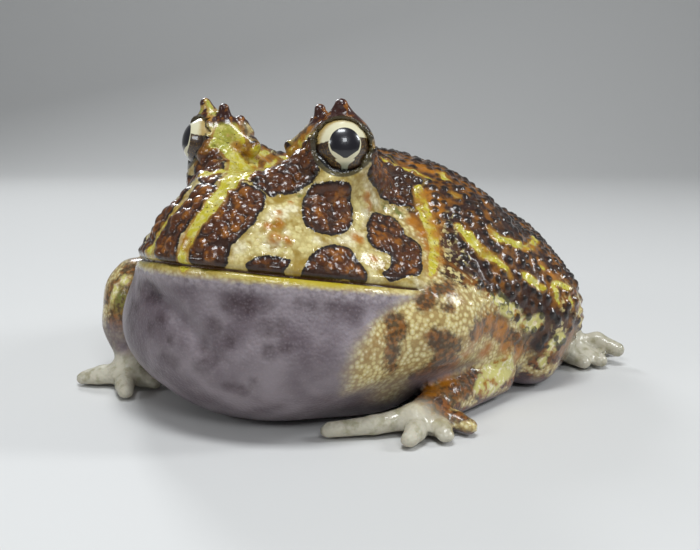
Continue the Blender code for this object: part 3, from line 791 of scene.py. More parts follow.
# %% Orange tints, brown flank marks and throat smudges
# a spot's third number is its radius in mm
ORANGE_SPOTS = [
    (275, 239, 1.3), (288, 241, 1.0), (291, 203, 0.6), (279, 213, 0.7), (278, 223, 1.2), (268, 226, 0.8),
    (208, 119, 1.0), (238, 147, 1.2), (247, 152, 1.2), (257, 158, 1.5), (265, 160, 1.4),
    (366, 196, 1.1), (368, 206, 1.2), (358, 238, 1.4), (374, 258, 1.0), (404, 264, 2.2), (420, 262, 1.6),
    (412, 222, 1.4), (421, 232, 1.6), (425, 246, 1.4),
    (428, 194, 1.6), (434, 201, 1.8), (438, 211, 1.6), (435, 222, 1.7), (436, 234, 1.4), (439, 250, 1.2),
    (440, 260, 1.2),
    (413, 164, 1.6), (424, 168, 1.8), (434, 172, 1.8),
    (524, 250, 0.9), (540, 262, 1.2), (552, 275, 1.2), (500, 330, 2.4), (488, 322, 2.4), (478, 338, 2.2),
    (462, 360, 2.6), (445, 378, 2.6), (430, 390, 2.4), (485, 350, 2.2), (505, 345, 2.0), (518, 352, 2.0),
]
LEFT_BROW_ORANGE = [(357, 122, 0.8), (311, 127, 1.4), (303, 138, 1.0)]
OLIVE_SPOTS = [
    (120, 300, 2.6), (128, 294, 2.4), (133, 306, 2.6), (137, 316, 2.0), (216, 128, 1.6), (224, 140, 1.6),
    (318, 147, 0.6), (330, 206, 0.8), (384, 205, 1.4), (397, 213, 1.6), (370, 240, 1.0), (300, 196, 1.0),
]
BROW_BROWN = [
    [(292, 143), (295, 136), (300, 128), (306, 120), (313, 115), (321, 113), (328, 116), (320, 124),
     (314, 132), (309, 138), (301, 144)],
    [(229, 113), (236, 117), (243, 124), (247, 131), (252, 140), (262, 147), (255, 148), (245, 143),
     (241, 134), (236, 124)],
    [(344, 121), (353, 121), (361, 128), (367, 140), (368, 152), (374, 150), (372, 138), (365, 124),
     (356, 116), (346, 116)],
]
SIDE_BROWN = [
    # round the corner of the mouth and on the shoulder
    [(417, 298), (426, 289), (438, 284), (451, 283), (455, 289), (446, 296), (435, 301), (430, 309),
     (420, 309)],
    [(440, 306), (446, 302), (453, 305), (453, 311), (445, 312)],
    [(386, 322), (392, 314), (402, 315), (407, 325), (404, 336), (400, 347), (398, 360), (395, 371),
     (387, 370), (385, 355), (388, 340)],
    [(428, 334), (443, 331), (455, 336), (461, 344), (455, 354), (458, 361), (451, 369), (441, 377),
     (424, 384), (413, 384), (412, 376), (424, 368), (432, 360), (435, 350), (430, 344)],
    [(470, 331), (476, 321), (488, 316), (499, 314), (508, 324), (509, 336), (503, 344), (494, 337),
     (483, 334), (473, 339)],
    [(508, 336), (518, 332), (529, 334), (539, 337), (536, 347), (526, 353), (513, 350)],
    # the forearm's back
    [(430, 406), (436, 392), (447, 382), (460, 374), (472, 372), (478, 380), (474, 392), (462, 401),
     (446, 408)],
]
RIGHT_ARM_BROWN = [
    [(141, 266), (133, 263), (124, 270), (114, 281), (107, 293), (104, 306), (110, 304), (114, 292),
     (121, 281), (131, 275), (140, 271)],
]
THROAT_SMUDGES = [
    (232, 304, 2.4), (246, 305, 2.6), (264, 304, 1.8), (304, 301, 2.0), (320, 303, 2.4), (336, 308, 2.2),
    (354, 312, 2.2), (266, 328, 1.8), (280, 326, 1.6), (228, 342, 1.1), (270, 352, 1.5), (284, 345, 1.5),
    (229, 386, 1.2), (241, 390, 1.5), (253, 383, 1.1), (172, 362, 1.8), (164, 355, 1.2), (200, 346, 1.0),
    (386, 300, 1.6), (160, 318, 1.6),
]
SHOULDER_SPECKLES = [
    (445, 258, 2.6), (450, 272, 3.0), (446, 242, 2.2), (462, 280, 2.8), (456, 228, 1.8), (474, 287, 2.6),
    (440, 228, 1.4), (448, 216, 1.2), (462, 256, 2.0), (488, 300, 2.2), (520, 330, 2.4), (560, 330, 2.4),
    (566, 305, 1.8),
]
print("side marks:", len(SIDE_BROWN), "smudges:", len(THROAT_SMUDGES))

# %% [markdown]
# The blotches are blistered, so their mesh is made finer once more. Then the skin's
# places are measured, and each family of marks becomes a number at every vertex: the
# distance in mm to its edge, negative inside. The materials turn those numbers into
# colours with sharp or soft edges, so no colours are stored.

# %% Distances of the dark blotches
def dark_distance(points, twin=True):
    values = np.full(len(points), FAR)
    lay_patches(values, points, SNOUT_BLOTCHES, False)
    lay_patches(values, points, CHEEK_BLOTCHES, twin, CHEEK_DEPTH)
    lay_patches(values, points, LID_HOLLOWS, True)
    return values


def in_seen_blotches(points):
    return dark_distance(points, twin=False) < 0.1


print("blotches:", refine(skin, in_seen_blotches), "faces subdivided")
print("skin:", triangle_count(skin), "triangles")
places = coordinates(skin.data)
slopes = outward(places)
head_x, head_f, head_u = to_head(places).T
dark = dark_distance(places)

# %% Distances of the other marks
def soft(value, start, end):
    """Runs smoothly from 0 where the value is start to 1 where it is end."""
    t = np.clip((value - start) / (end - start), 0, 1)
    return t * t * (3 - 2 * t)


def lay_spots(values, points, spots, twin):
    """Soft round tints: the value is 1 in the middle of each and 0 at 1.5 of its radius."""
    for px, py, radius in spots:
        for centre in on_skin([(px, py)]):
            for side in sides_of(centre, twin):
                away = np.linalg.norm(points - side, axis=1) / radius
                values[:] = np.maximum(values, soft(away, 1.5, 0.4))


yellow, mottle, brown = (np.full(len(places), FAR) for _ in range(3))
orange, olive, speckle, smudge = (np.zeros(len(places)) for _ in range(4))
for lay, values, shapes, twin in (
    (lay_lines, yellow, [MIDLINE_STRIPE, RIGHT_SNOUT_LINE], False),
    (lay_patches, yellow, RIGHT_LID_FRONT, False),
    (lay_lines, yellow, [BROW_LINE] + BACK_LINES, True),
    (lay_patches, yellow, CHEEK_BAND, True),
    (lay_patches, mottle, CREAM_MOTTLES, True),
    (lay_lines, mottle, ARM_STRIPE, False),
    (lay_patches, brown, SIDE_BROWN, True),
    (lay_patches, brown, RIGHT_ARM_BROWN + BROW_BROWN, False),
    (lay_spots, orange, ORANGE_SPOTS, True),
    (lay_spots, orange, LEFT_BROW_ORANGE, False),
    (lay_spots, olive, OLIVE_SPOTS, False),
    (lay_spots, speckle, SHOULDER_SPECKLES, True),
    (lay_spots, smudge, THROAT_SMUDGES, True),
):
    lay(values, places, shapes, twin)
level = places[:, 2]
lid_front = soft(level, 46.0, 51.0) * soft(places[:, 0], -6.0, -9.0)
flank = np.maximum(soft(head_f, 14.5, 11.0), soft(head_u, -0.8, -1.6))
print("dark share of the skin:", round(float((dark < 0).mean()), 3))

# %% [markdown]
# Large parts of the body differ too: brown back, cream flanks, grey-white throat and
# belly, pale fingers and toes. These zones are smooth weights from 0 to 1. The throat
# ends along a line that runs from the corner of the mouth down to the floor.

# %% Zones of the body
SIDE_OF_BACK = [
    [(437, 200), (438, 240), (441, 262), (443, 278), (455, 282), (468, 287), (482, 292), (492, 300),
     (503, 309), (512, 318), (521, 325), (530, 335), (535, 347), (545, 358), (560, 364), (574, 345),
     (576, 320), (569, 290), (553, 264), (532, 241), (503, 217), (478, 193), (455, 175)],
]
THROAT_EDGE = [(424, 292), (398, 305), (372, 324), (356, 347), (346, 372), (346, 393), (352, 410)]

sideways = np.abs(places[:, 0])
behind_head = soft(head_f, 9.0, 3.0)
back_line = 30.0 - 12.0 * soft(places[:, 1], 12.0, 40.0)
zone_back = behind_head * soft(level, back_line - 4.0, back_line + 4.0)
zone_back = np.maximum(zone_back, soft(head_f, 14.0, 6.0) * soft(head_u, 16.0, 20.0))
side_of_back = np.full(len(places), FAR)
lay_patches(side_of_back, places, SIDE_OF_BACK, True, BACK_DEPTH)
zone_back = np.maximum(zone_back, soft(side_of_back, 3.0, -3.0))
between_eyes = soft(np.abs(head_x), 9.0, 5.0) * soft(head_f, 24.0, 18.0) * soft(head_u, 14.0, 18.0)
rear_of_lids = soft(slopes[:, 1], -0.05, 0.35) * soft(level, 40.0, 45.0)
zone_back = np.maximum(zone_back, np.maximum(between_eyes, rear_of_lids))
edge = on_skin(THROAT_EDGE)[::-1]
throat_end = np.interp(level, edge[:, 2], edge[:, 1])
throat_front = soft(head_u, -1.2, -2.1) * soft(places[:, 1] - throat_end, 2.5, -2.0)
top_of_right_arm = soft(limb_field(places, UPPER_ARM["right"]), 2.0, 0.6) * soft(level, 15.0, 18.0)
throat_front *= 1 - top_of_right_arm
below = soft(slopes[:, 2], -0.35, -0.75) * soft(level, 16.0, 8.0)
zone_throat = np.maximum(throat_front, below)
right_arm = soft(level, 17.0, 12.0) * soft(places[:, 0], -27.0, -30.0) * soft(places[:, 1], -4.0, -8.0)
zone_throat = np.maximum(zone_throat, 0.85 * right_arm)
lower_arm = lower_arms(places)
fingers = soft(lower_arm, 0.8, 0.2) * soft(places[:, 1], np.where(places[:, 0] > 0, -13.0, -19.0), -21.0)
toes = soft(sideways, 42.5, 45.0) * (places[:, 1] > 36.0) * soft(level, 9.0, 7.0)
zone_pale = np.maximum(fingers * soft(level, 9.0, 6.0), toes)
leg = np.minimum(limb_field(mirrored(places), THIGH), limb_field(mirrored(places), SHIN))
zone_leg = np.maximum(soft(leg, 1.2, 0.2), soft(lower_arm, 1.0, 0.2) * (1 - zone_pale))
print("back:", round(float(zone_back.mean()), 2), "throat:", round(float(zone_throat.mean()), 2))

# %% Lids, horns and lips
from_eye = mirrored(places) - EYE_CENTRE
off_axis = np.linalg.norm(from_eye - (from_eye @ LID_FACING)[:, None] * LID_FACING, axis=1)
near_eye = soft(np.linalg.norm(from_eye, axis=1), 8.2, 7.4) * soft(from_eye @ LID_FACING, 0.0, 1.2)
lid = off_axis + FAR * (1 - near_eye)
horn = soft(level, 57.6, 58.8) * soft(head_f, 8.0, 12.0)
peaks = [tapered(mirrored(places), *peak) for peak in HORNS]
on_main_peak = np.minimum(peaks[0], peaks[1]) < np.minimum(peaks[2], peaks[3])
horn[(places[:, 0] < 0) & (yellow < 0.2) & on_main_peak] = 0.0
along_mouth = soft(head_f, MOUTH_CORNER_F, MOUTH_CORNER_F + 3.0)
mouth = np.abs(head_u) + 5.0 * (1 - along_mouth)
lip = along_mouth * soft(np.abs(head_u + 0.7), 1.0, 0.3)
lip *= 0.25 + 0.6 * soft(np.abs(head_x), 6.0, 18.0)
off_head = np.minimum(blobs(to_head(places), UPPER_HEAD), blobs(to_head(places), LOWER_JAW))
lip *= soft(off_head, 2.2, 1.2)
print("lid vertices:", int((lid < 6.0).sum()), "horn vertices:", int((horn > 0.5).sum()))

# %% [markdown]
# Warts cover the back and flanks, from low domes 3 mm across to grains. Each is set on
# the skin by a seeded draw that keeps a distance to those already there.

# %% Scatter points on the skin
def scattered(seed, tries, spacing, low, high, wanted):
    """Places on the skin, at least spacing apart, where wanted(places, slopes) holds."""
    rng = np.random.default_rng(seed)
    points = slide_on(rng.uniform(low, high, (tries, 3)), 8, most=6.0)
    slope = outward(points)
    good = (np.abs(skin_field(points)) < 0.05) & wanted(points, slope)
    chosen = np.empty((0, 3))
    for place in points[good]:
        if not len(chosen) or ((chosen - place) ** 2).sum(1).min() > spacing**2:
            chosen = np.vstack([chosen, place])
    return chosen, rng


def clear_of_eye(points, gap):
    return np.linalg.norm(mirrored(points) - EYE_CENTRE, axis=1) > gap


def warty(points, slope):
    f, u = to_head(points).T[1:]
    low = np.where(points[:, 1] > 8.0, 10.0, 18.0)
    under = np.where(points[:, 1] > 30.0, -0.7, -0.2)
    good = (f < 12.0) & (points[:, 2] > low) & (slope[:, 2] > under) & clear_of_eye(points, 9.5)
    return good & ((f < 2.0) | (u > 14.0)) & (lower_arms(points) > 0.5)


def low_flank(points, slope):
    f, u = to_head(points).T[1:]
    low_front = (f < 8.0) & (points[:, 1] < 8.0) & (points[:, 2] < 24.0)
    return low_front & (points[:, 2] > 5.0) & (lower_arms(points) > 0.5)


wart_places, rng = scattered(
    seed=7, tries=22000, spacing=2.05, low=(-54, -32, 8), high=(54, 70, 58), wanted=warty
)
wart_radii = rng.uniform(0.75, 1.2, len(wart_places))
grain_places, rng = scattered(
    seed=11, tries=9000, spacing=2.0, low=(-46, -30, 4), high=(46, 10, 26), wanted=low_flank
)
grain_radii = rng.uniform(0.7, 1.1, len(grain_places))
print("warts:", len(wart_places), "grains:", len(grain_places))

# %% [markdown]
# Inside the face blotches the skin is blistered: glossy bubbles packed side by side. The
# draw is the same, kept to where the dark distance is negative. Some single orange
# bubbles stand on the cream skin, where the photograph shows them.

# %% Blisters in the blotches
vertex_tree = KDTree(len(places))
for index, place in enumerate(places):
    vertex_tree.insert(place, index)
vertex_tree.balance()


def at_vertex(values, points):
    return np.array([values[vertex_tree.find(point)[1]] for point in points])


def in_blotch(points, slope):
    f, u = to_head(points).T[1:]
    good = (f > 3.0) & (u > 2.0)
    good[good] = at_vertex(dark, points[good]) < -0.3
    return good


def on_cream(points, slope):
    f, u = to_head(points).T[1:]
    good = (f > 4.0) & (u > 4.0) & clear_of_eye(points, 8.5)
    good[good] = (at_vertex(dark, points[good]) > 0.9) & (at_vertex(yellow, points[good]) > 0.6)
    return good


blister_places, rng = scattered(
    seed=23, tries=14000, spacing=1.6, low=(-32, -48, 24), high=(32, -2, 60), wanted=in_blotch
)
blister_radii = 0.75 + 0.9 * rng.random(len(blister_places)) ** 2
bead_places, rng = scattered(
    seed=31, tries=8000, spacing=1.5, low=(-32, -48, 26), high=(32, -2, 60), wanted=on_cream
)
bead_radii = rng.uniform(0.45, 0.8, len(bead_places))
ORANGE_BUBBLES = [
    (275, 239, 1.35), (288, 240.5, 0.95), (291, 203, 0.6), (279, 213, 0.6), (277, 222, 0.9), (366, 194, 1.0),
    (367, 207, 1.0), (331, 190, 0.9), (323, 200, 0.6), (345, 187, 0.7), (340, 208, 1.5),
]
bubble_places = np.vstack([on_skin([bubble[:2]]) for bubble in ORANGE_BUBBLES])
bubble_radii = [bubble[2] for bubble in ORANGE_BUBBLES]
print("blisters:", len(blister_places), "beads:", len(bead_places), "bubbles:", len(bubble_places))


# %% Raise them
DOME_FOOT = 1.2


def raise_domes(relief, top, centres, radii, height):
    """Domes as high as height times their radius; top keeps how near a dome's top is."""
    for centre, radius in zip(centres, radii):
        for _, index, away in vertex_tree.find_range(centre, radius * DOME_FOOT):
            t = away / (radius * DOME_FOOT)
            dome = 1 - t * t
            relief[index] = max(relief[index], dome * height * radius)
            top[index] = max(top[index], dome)


relief, wart_top, blister_top = (np.zeros(len(places)) for _ in range(3))
for top, centres, radii, height in (
    (wart_top, wart_places, wart_radii, 0.7),
    (wart_top, grain_places, grain_radii, 0.22),
    (blister_top, blister_places, blister_radii, 0.5),
    (blister_top, bead_places, bead_radii, 0.3),
    (blister_top, bubble_places, bubble_radii, 0.75),
):
    raise_domes(relief, top, centres, radii, height)
print("highest dome:", relief.max().round(2), "mm")

# %% [markdown]
# The mouth is a long groove at u = 0 from corner to corner. The upper lip rolls over
# it and the lower lip swells under it.

# %% Mouth, nostrils and folds
# height, middle and half width of each roll or groove, in mm
UPPER_LIP, LOWER_LIP, MOUTH_GROOVE = (0.45, 1.3, 0.9), (0.25, -1.7, 1.0), (-0.85, 0.0, 0.35)
NOSTRIL_PIT, NOSTRIL_RIM = (-1.1, 0.0, 0.9), (0.35, 1.6, 0.5)


def roll(across, height, middle, width):
    return height * np.exp(-(((across - middle) / width) ** 2))


for form in (UPPER_LIP, LOWER_LIP, MOUTH_GROOVE):
    relief += along_mouth * roll(head_u, *form)
from_nostril = np.linalg.norm(mirrored(to_head(places)) - NOSTRIL, axis=1)
for form in (NOSTRIL_PIT, NOSTRIL_RIM):
    relief += roll(from_nostril, *form)

FOLDS = [
    # pixels, depth and half width in mm (a negative depth is a ridge), with a twin or not
    # throat beside the right arm
    ([(147, 291), (164, 303), (181, 319), (194, 335), (205, 349), (215, 359)], 1.5, 1.6, False),
    ([(214, 335), (225, 341), (236, 345)], 0.7, 1.2, False),
    # below the corner of the mouth
    ([(428, 292), (405, 303), (380, 320), (364, 335)], -0.6, 1.1, True),
    ([(424, 297), (400, 309), (376, 327)], 0.7, 1.1, True),
]
for pixels, depth, width, twin in FOLDS:
    for fold in sides_of(on_skin(pixels), twin):
        curve = rounded(fold, False)
        away = np.full(len(places), FAR)
        lower(away, places, curve, lambda q: line_distance(q, curve, np.zeros(len(curve))))
        relief += roll(away, -depth, 0.0, width)
print("relief from", relief.min().round(2), "to", relief.max().round(2), "mm")

# %% [markdown]
# The relief moves every vertex along the smooth field's normal, but not the flats that
# rest on the floor. The marks are then stored on the mesh for the materials.

# %% Apply the relief and store the marks
relief *= soft(level, 0.1, 1.2)
shaped = places + slopes * relief[:, None]
shaped[:, 2] = np.maximum(shaped[:, 2], 0.0)
place_vertices(skin.data, shaped)

MARKS = {
    "dark": dark, "yellow": yellow, "mottle": mottle, "brown": brown, "orange": orange,
    "olive": olive, "smudge": smudge, "speckle": speckle, "lidfront": lid_front, "flank": flank,
    "back": zone_back, "throat": zone_throat, "pale": zone_pale, "leg": zone_leg, "lid": lid,
    "horn": horn, "mouth": mouth, "lip": lip, "wart": wart_top, "blister": blister_top,
}
for name, values in MARKS.items():
    attribute = skin.data.attributes.new(name, "FLOAT", "POINT")
    attribute.data.foreach_set("value", values.astype(np.float32))
skin.vertex_groups.clear()
skin.data.transform(TO_SCENE)
make_active(skin)
bpy.ops.object.shade_smooth()
print("skin vertices:", len(places))

# %% [markdown]
# A node is added by one small function: it sets the node's options, then gives each
# input either a value or a link. Colours are written as on a screen and made linear.

# %% Node and colour helpers
def add(tree, kind, inputs=None, **options):
    node = tree.nodes.new(kind)
    for key, value in options.items():
        setattr(node, key, value)
    for key, value in (inputs or {}).items():
        if isinstance(value, bpy.types.NodeSocket):
            tree.links.new(value, node.inputs[key])
        else:
            node.inputs[key].default_value = value
    return node


def linear(hex_colour):
    """sRGB hex to the linear RGBA that the shaders use."""
    parts = [int(hex_colour[i:i + 2], 16) / 255 for i in (1, 3, 5)]
    return [p / 12.92 if p <= 0.04045 else ((p + 0.055) / 1.055) ** 2.4 for p in parts] + [1.0]


def new_material(name):
    material = bpy.data.materials.new(name)
    material.use_nodes = True
    material.node_tree.nodes.clear()
    return material


print("cream:", [round(c, 3) for c in linear("#ddd08a")])

# %% [markdown]
# Skin has dozens of colours on top of each other, so its pattern is written as lists, like
# a painter's recipe. First come the textures with their grain in millimetres, then sums,
# then coats of paint from the bottom up. A row names what it takes from the rows above it,
# and the nodes of each list are added in one loop.

# %% A pattern from lists
NOISE, CELLS = "ShaderNodeTexNoise", "ShaderNodeTexVoronoi"
FADE_INPUTS = ("Value", "From Min", "From Max", "To Max")


def weave(tree, marks, textures, sums, coats):
    """Adds the nodes of the lists and returns what each row gives, by the row's name.

    A texture is (name, kind, size in mm, detail) and a sum is (name, operation, terms).
    A list of coats starts with its base. A coat is (paint, place, start, end, most): it
    grows from nothing where the place's value is start to its most, or 1, at end.
    """
    where = add(tree, "ShaderNodeTexCoord").outputs["Object"]
    made = {}
    for mark in marks:
        made[mark] = add(tree, "ShaderNodeAttribute", attribute_name=mark).outputs["Fac"]
    for name, kind, size_mm, detail in textures:
        inputs = {"Vector": where, "Scale": 1.0 / (size_mm * MM), "Detail": detail}
        made[name] = add(tree, kind, inputs).outputs[0]
    for name, operation, *terms in sums:
        terms = [made.get(term, term) for term in terms]
        if operation == "FADE":
            inputs = dict(zip(FADE_INPUTS, terms))
            node = add(tree, "ShaderNodeMapRange", inputs, interpolation_type="SMOOTHSTEP")
        else:
            node = add(tree, "ShaderNodeMath", dict(enumerate(terms)), operation=operation)
        made[name] = node.outputs[0]
    for name, (base, *layers) in coats.items():
        result = made.get(base) or linear(base)
        for paint, *limits in layers:
            ease = "LINEAR" if limits[1:3] == [0, 1] else "SMOOTHSTEP"
            inputs = dict(zip(FADE_INPUTS, (made.get(limit, limit) for limit in limits)))
            mask = add(tree, "ShaderNodeMapRange", inputs, interpolation_type=ease).outputs[0]
            inputs = {0: mask, 6: result, 7: made.get(paint) or linear(paint)}
            result = add(tree, "ShaderNodeMix", inputs, data_type="RGBA").outputs[2]
        made[name] = result
    return made


print("marks to paint by:", ", ".join(MARKS))

# %% [markdown]
# Every mark's edge wanders a little, as pigment does, because the same two noises are
# added to all the distances, most to those of the brown marks on the sides. The bump is
# only the pebbly grain of about a millimetre and less, which the mesh is too coarse for.

# %% Textures and edges of the skin
SKIN_TEXTURES = [
    ("broad", NOISE, 5.0, 4.0),
    ("medium", NOISE, 2.2, 4.0),
    ("small", NOISE, 1.1, 4.0),
    ("fine", NOISE, 0.5, 4.0),
    ("grit", NOISE, 0.9, 6.0),
    ("pepper", NOISE, 0.42, 1.0),
    ("speckles", NOISE, 1.3, 4.0),
    ("mustard clouds", NOISE, 3.6, 4.0),
    ("leg clouds", NOISE, 3.4, 4.0),
    ("back clouds", NOISE, 3.0, 4.0),
    ("throat clouds", NOISE, 9.0, 2.0),
    ("dark areas", NOISE, 10.0, 3.0),
    ("pores", CELLS, 0.6, 0.0),
    ("pebbles", CELLS, 0.75, 0.0),
    ("granules", CELLS, 0.9, 0.0),
    ("ridges", CELLS, 1.25, 0.0),
]
SKIN_SUMS = [
    ("lean", "MULTIPLY_ADD", "fine", 0.7, -1.15),
    ("wobble", "MULTIPLY_ADD", "medium", 1.6, "lean"),
    ("brown edge", "MULTIPLY_ADD", "wobble", 2.2, "brown"),
    ("mottle edge", "MULTIPLY_ADD", "wobble", 1.2, "mottle"),
    ("back edge", "MULTIPLY_ADD", "wobble", 0.9, "back"),
    ("yellow edge", "MULTIPLY_ADD", "wobble", 0.75, "yellow"),
    ("dark edge", "MULTIPLY_ADD", "wobble", 0.7, "dark"),
    ("mustard and gap shade", "FADE", "medium", 0.35, 0.75),
    ("warts of the back", "FADE", "back edge", 0.3, 0.7, 0.85),
    ("lip gaps", "FADE", "small", 0.2, 0.7),
    ("warm core", "FADE", "medium", 0.48, 0.66),
    ("sunk pebbles", "MULTIPLY_ADD", "pebbles", -0.7, "grit"),
    ("sunk ridges", "FADE", "dark", 0.2, -0.3, -1.6),
    ("height", "MULTIPLY_ADD", "ridges", "sunk ridges", "sunk pebbles"),
]
print("skin:", len(SKIN_TEXTURES), "textures,", len(SKIN_SUMS), "sums")

# %% Colours of the skin
CREAM, PALE_CREAM, MUSTARD, OLIVE = "#d2c486", "#e6ddb6", "#94782a", "#6f6f30"
LEMON, STRAW, OCHRE, ORANGE, LID_GREEN = "#bdb02c", "#cbc273", "#a06f18", "#a8690a", "#9f9c3a"
RIM_BROWN, CORE_BROWN, CORE_ORANGE = "#190902", "#4e2606", "#88500c"
BACK_DARK, BACK_ORANGE, WART_DARK = "#301506", "#82500f", "#0b0503"
FLANK_CREAM, SIDE_MARK, SIDE_ORANGE, GRANULE_GAP = "#cfbe82", "#3a200b", "#7e4812", "#927038"
# the throat's greys are its grey-mauve, darkened as painted shade for the underside
THROAT_GREY, THROAT_WHITE, SMUDGE = "#62565c", "#9c9296", "#3d2e32"
# the second lid colour is painted shade, for a thin dark line in the crease where the lid meets the eyeball
LID_OLIVE, LID_CREASE_SHADE, HORN_MAROON = "#40381f", "#0c0806", "#36150c"
# the last colour here is painted shade, for the dark line in the mouth's groove
DIGIT_PALE, DIGIT_OLIVE, LIP_YELLOW, MOUTH_SHADE = "#bcb6a4", "#7f7a55", "#b3a012", "#4a2c06"

SKIN_COATS = {
    # granular cream sides, and the brown marks on them
    "side": [
        FLANK_CREAM,
        (SIDE_ORANGE, "broad", 0.5, 0.68, 0.55),
        (PALE_CREAM, "granules", 0.42, 0.12, 0.7),
        (GRANULE_GAP, "granules", 0.42, 0.7, 0.7),
    ],
    "side mark": [SIDE_MARK, (SIDE_ORANGE, "small", 0.42, 0.62)],
    # the orange-brown skin of the back, and the cream patches low on it
    "back skin": [
        BACK_DARK,
        (BACK_ORANGE, "back clouds", 0.4, 0.6),
        (BACK_DARK, "dark areas", 0.5, 0.57, 0.8),
        (FLANK_CREAM, "speckles", 0.5, 0.62, "speckle"),
    ],
    "patch": [STRAW, (PALE_CREAM, "small", 0.48, 0.62), (OCHRE, "medium", 0.52, 0.66)],
    # grey throat and belly, the grey partly painted shade of the underside, paler under the lip
    "throat skin": [
        THROAT_GREY,
        (THROAT_WHITE, "throat clouds", 0.3, 0.75, 0.7),
        (SMUDGE, "medium", 0.0, 0.9, "smudge"),
        (THROAT_WHITE, "mouth", 4.6, 2.4, "lip gaps"),
        (THROAT_WHITE, "pores", 0.5, 0.15, 0.14),
    ],
    # dark blotches with a darker rim, and painted shade in the grooves between their blisters
    "core": [
        RIM_BROWN,
        (CORE_BROWN, "dark edge", -0.2, -1.0),
        (CORE_ORANGE, "dark edge", -0.4, -1.4, "warm core"),
        # painted shade: rim brown in the grooves between the blisters, lighter on their tops
        (RIM_BROWN, "blister", 0.5, 0.1, 0.7),
    ],
    # yellow strokes with pepper dots
    "stroke": [
        LEMON,
        (STRAW, "small", 0.42, 0.62),
        (OCHRE, "broad", 0.52, 0.7),
        (LID_GREEN, "small", 0.7, 0.4, "lidfront"),
        (ORANGE, "orange", 0, 1, 0.85),
        (RIM_BROWN, "pepper", 0.66, 0.72, 0.8),
    ],
    "maroon": [HORN_MAROON, (CORE_ORANGE, "small", 0.5, 0.66)],
    "digit": [DIGIT_PALE, (DIGIT_OLIVE, "medium", 0.45, 0.7, 0.6)],
    # all of it on the cream skin of the face
    "skin": [
        CREAM,
        (PALE_CREAM, "broad", 0.5, 0.62),
        (MUSTARD, "mustard clouds", 0.5, 0.7),
        (MUSTARD, "pebbles", 0.4, 0.75, 0.35),
        # partly a mustard tint in patches, partly painted shade: the gaps between the beads darker than
        # their tops
        (MUSTARD, "blister", 0.35, 0.0, "mustard and gap shade"),
        ("side", "flank", 0, 1),
        ("side mark", "brown edge", 1.3, -0.6, 0.9),
        ("side mark", "leg clouds", 0.56, 0.46, "leg"),
        ("back skin", "back edge", 0.3, 0.7),
        (ORANGE, "medium", 0.3, 0.55, "orange"),
        (OLIVE, "small", 0.35, 0.6, "olive"),
        ("patch", "mottle edge", 0.6, -0.5),
        (WART_DARK, "wart", 0.25, 0.6, "warts of the back"),
        ("throat skin", "throat", 0, 1),
        (MUSTARD, "dark edge", 0.9, 0.2, 0.5),
        ("core", "dark edge", 0.1, -0.12),
        (OCHRE, "yellow edge", 0.75, 0.15, 0.6),
        ("stroke", "yellow edge", 0.16, -0.16),
        ("maroon", "horn", 0, 1),
        (LID_OLIVE, "lid", 6.0, 5.7, 0.9),
        # painted shade: a thin dark line where the lid meets the eyeball
        (LID_CREASE_SHADE, "lid", 5.1, 4.95),
        ("digit", "pale", 0, 1),
        (LIP_YELLOW, "lip", 0, 1),
        # painted shade: a dark line along the mouth's groove, under the upper lip
        (MOUTH_SHADE, "mouth", 0.38, 0.12),
    ],
}
print("coats of paint:", sum(len(coats) for coats in SKIN_COATS.values()))

# %% [markdown]
# Living frog skin is wet. Under a film of water the colour is deep and every wart has a
# small sharp glint: that film is the Principled shader's coat, smooth, with a low IOR
# near water's and a fine ripple of its own. The throat is only damp, so its coat is weak
# and rough, its sheen is broad, and a little light goes into the thin skin.

# %% The skin's two materials
def skin_material(name, coat, coat_roughness, roughness, bump_mm, subsurface):
    material = new_material(name)
    tree = material.node_tree
    made = weave(tree, MARKS, SKIN_TEXTURES, SKIN_SUMS, SKIN_COATS)
    bump = add(tree, "ShaderNodeBump", {
        "Height": made["height"], "Strength": 0.7, "Distance": bump_mm * MM,
    })
    film = add(tree, "ShaderNodeBump", {
        "Height": made["small"], "Strength": 0.6, "Distance": bump_mm * MM,
    })
    shader = add(tree, "ShaderNodeBsdfPrincipled", {
        "Base Color": made["skin"],
        "Roughness": roughness,
        "Normal": bump.outputs["Normal"],
        "Coat Weight": coat,
        "Coat Roughness": coat_roughness,
        "Coat IOR": 1.4,
        "Coat Normal": film.outputs["Normal"],
        "IOR": 1.4,
        "Specular IOR Level": 0.3,
        "Subsurface Weight": subsurface,
        "Subsurface Radius": (1.0, 0.4, 0.2),
        "Subsurface Scale": 0.6 * MM,
    })
    add(tree, "ShaderNodeOutputMaterial", {"Surface": shader.outputs["BSDF"]})
    return material


WET_SKIN = skin_material(
    "wet warty skin", coat=1.0, coat_roughness=0.04, roughness=0.45, bump_mm=0.18, subsurface=0.02
)
DAMP_SKIN = skin_material(
    "damp throat skin", coat=0.3, coat_roughness=0.25, roughness=0.5, bump_mm=0.24, subsurface=0.06
)
skin.data.materials.append(WET_SKIN)
skin.data.materials.append(DAMP_SKIN)
throat_at = np.array([zone_throat[polygon.vertices[0]] for polygon in skin.data.polygons])
skin.data.polygons.foreach_set("material_index", (throat_at > 0.5).astype(np.int32))
print("skin material nodes:", len(WET_SKIN.node_tree.nodes))

# %% The skin takes the place of the flesh
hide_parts(*flesh_names)
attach(skin, "root")

# %% [markdown]
# Each eyeball looks out and forward. The pupil is round with a small point below, in a
# thin pale ring; the iris is pale gold above and speckled bronze below. Where the
# pupil's middle shows in the photograph gives the eye's axis.

# %% Eyes
PUPIL_PIXEL = (345.3, 142.0)
CORNEA_BULGE = 0.22
EYE_MARKS = ("iris across", "iris up", "iris front")
toward = sight(*PUPIL_PIXEL)
from_camera = CAMERA_PLACE - EYE_CENTRE
half = toward @ from_camera
reach = -half - math.sqrt(half**2 - from_camera @ from_camera + EYE_RADIUS**2)
pupil_axis = (CAMERA_PLACE + toward * reach - EYE_CENTRE) / EYE_RADIUS
print("pupil axis:", pupil_axis.round(3))


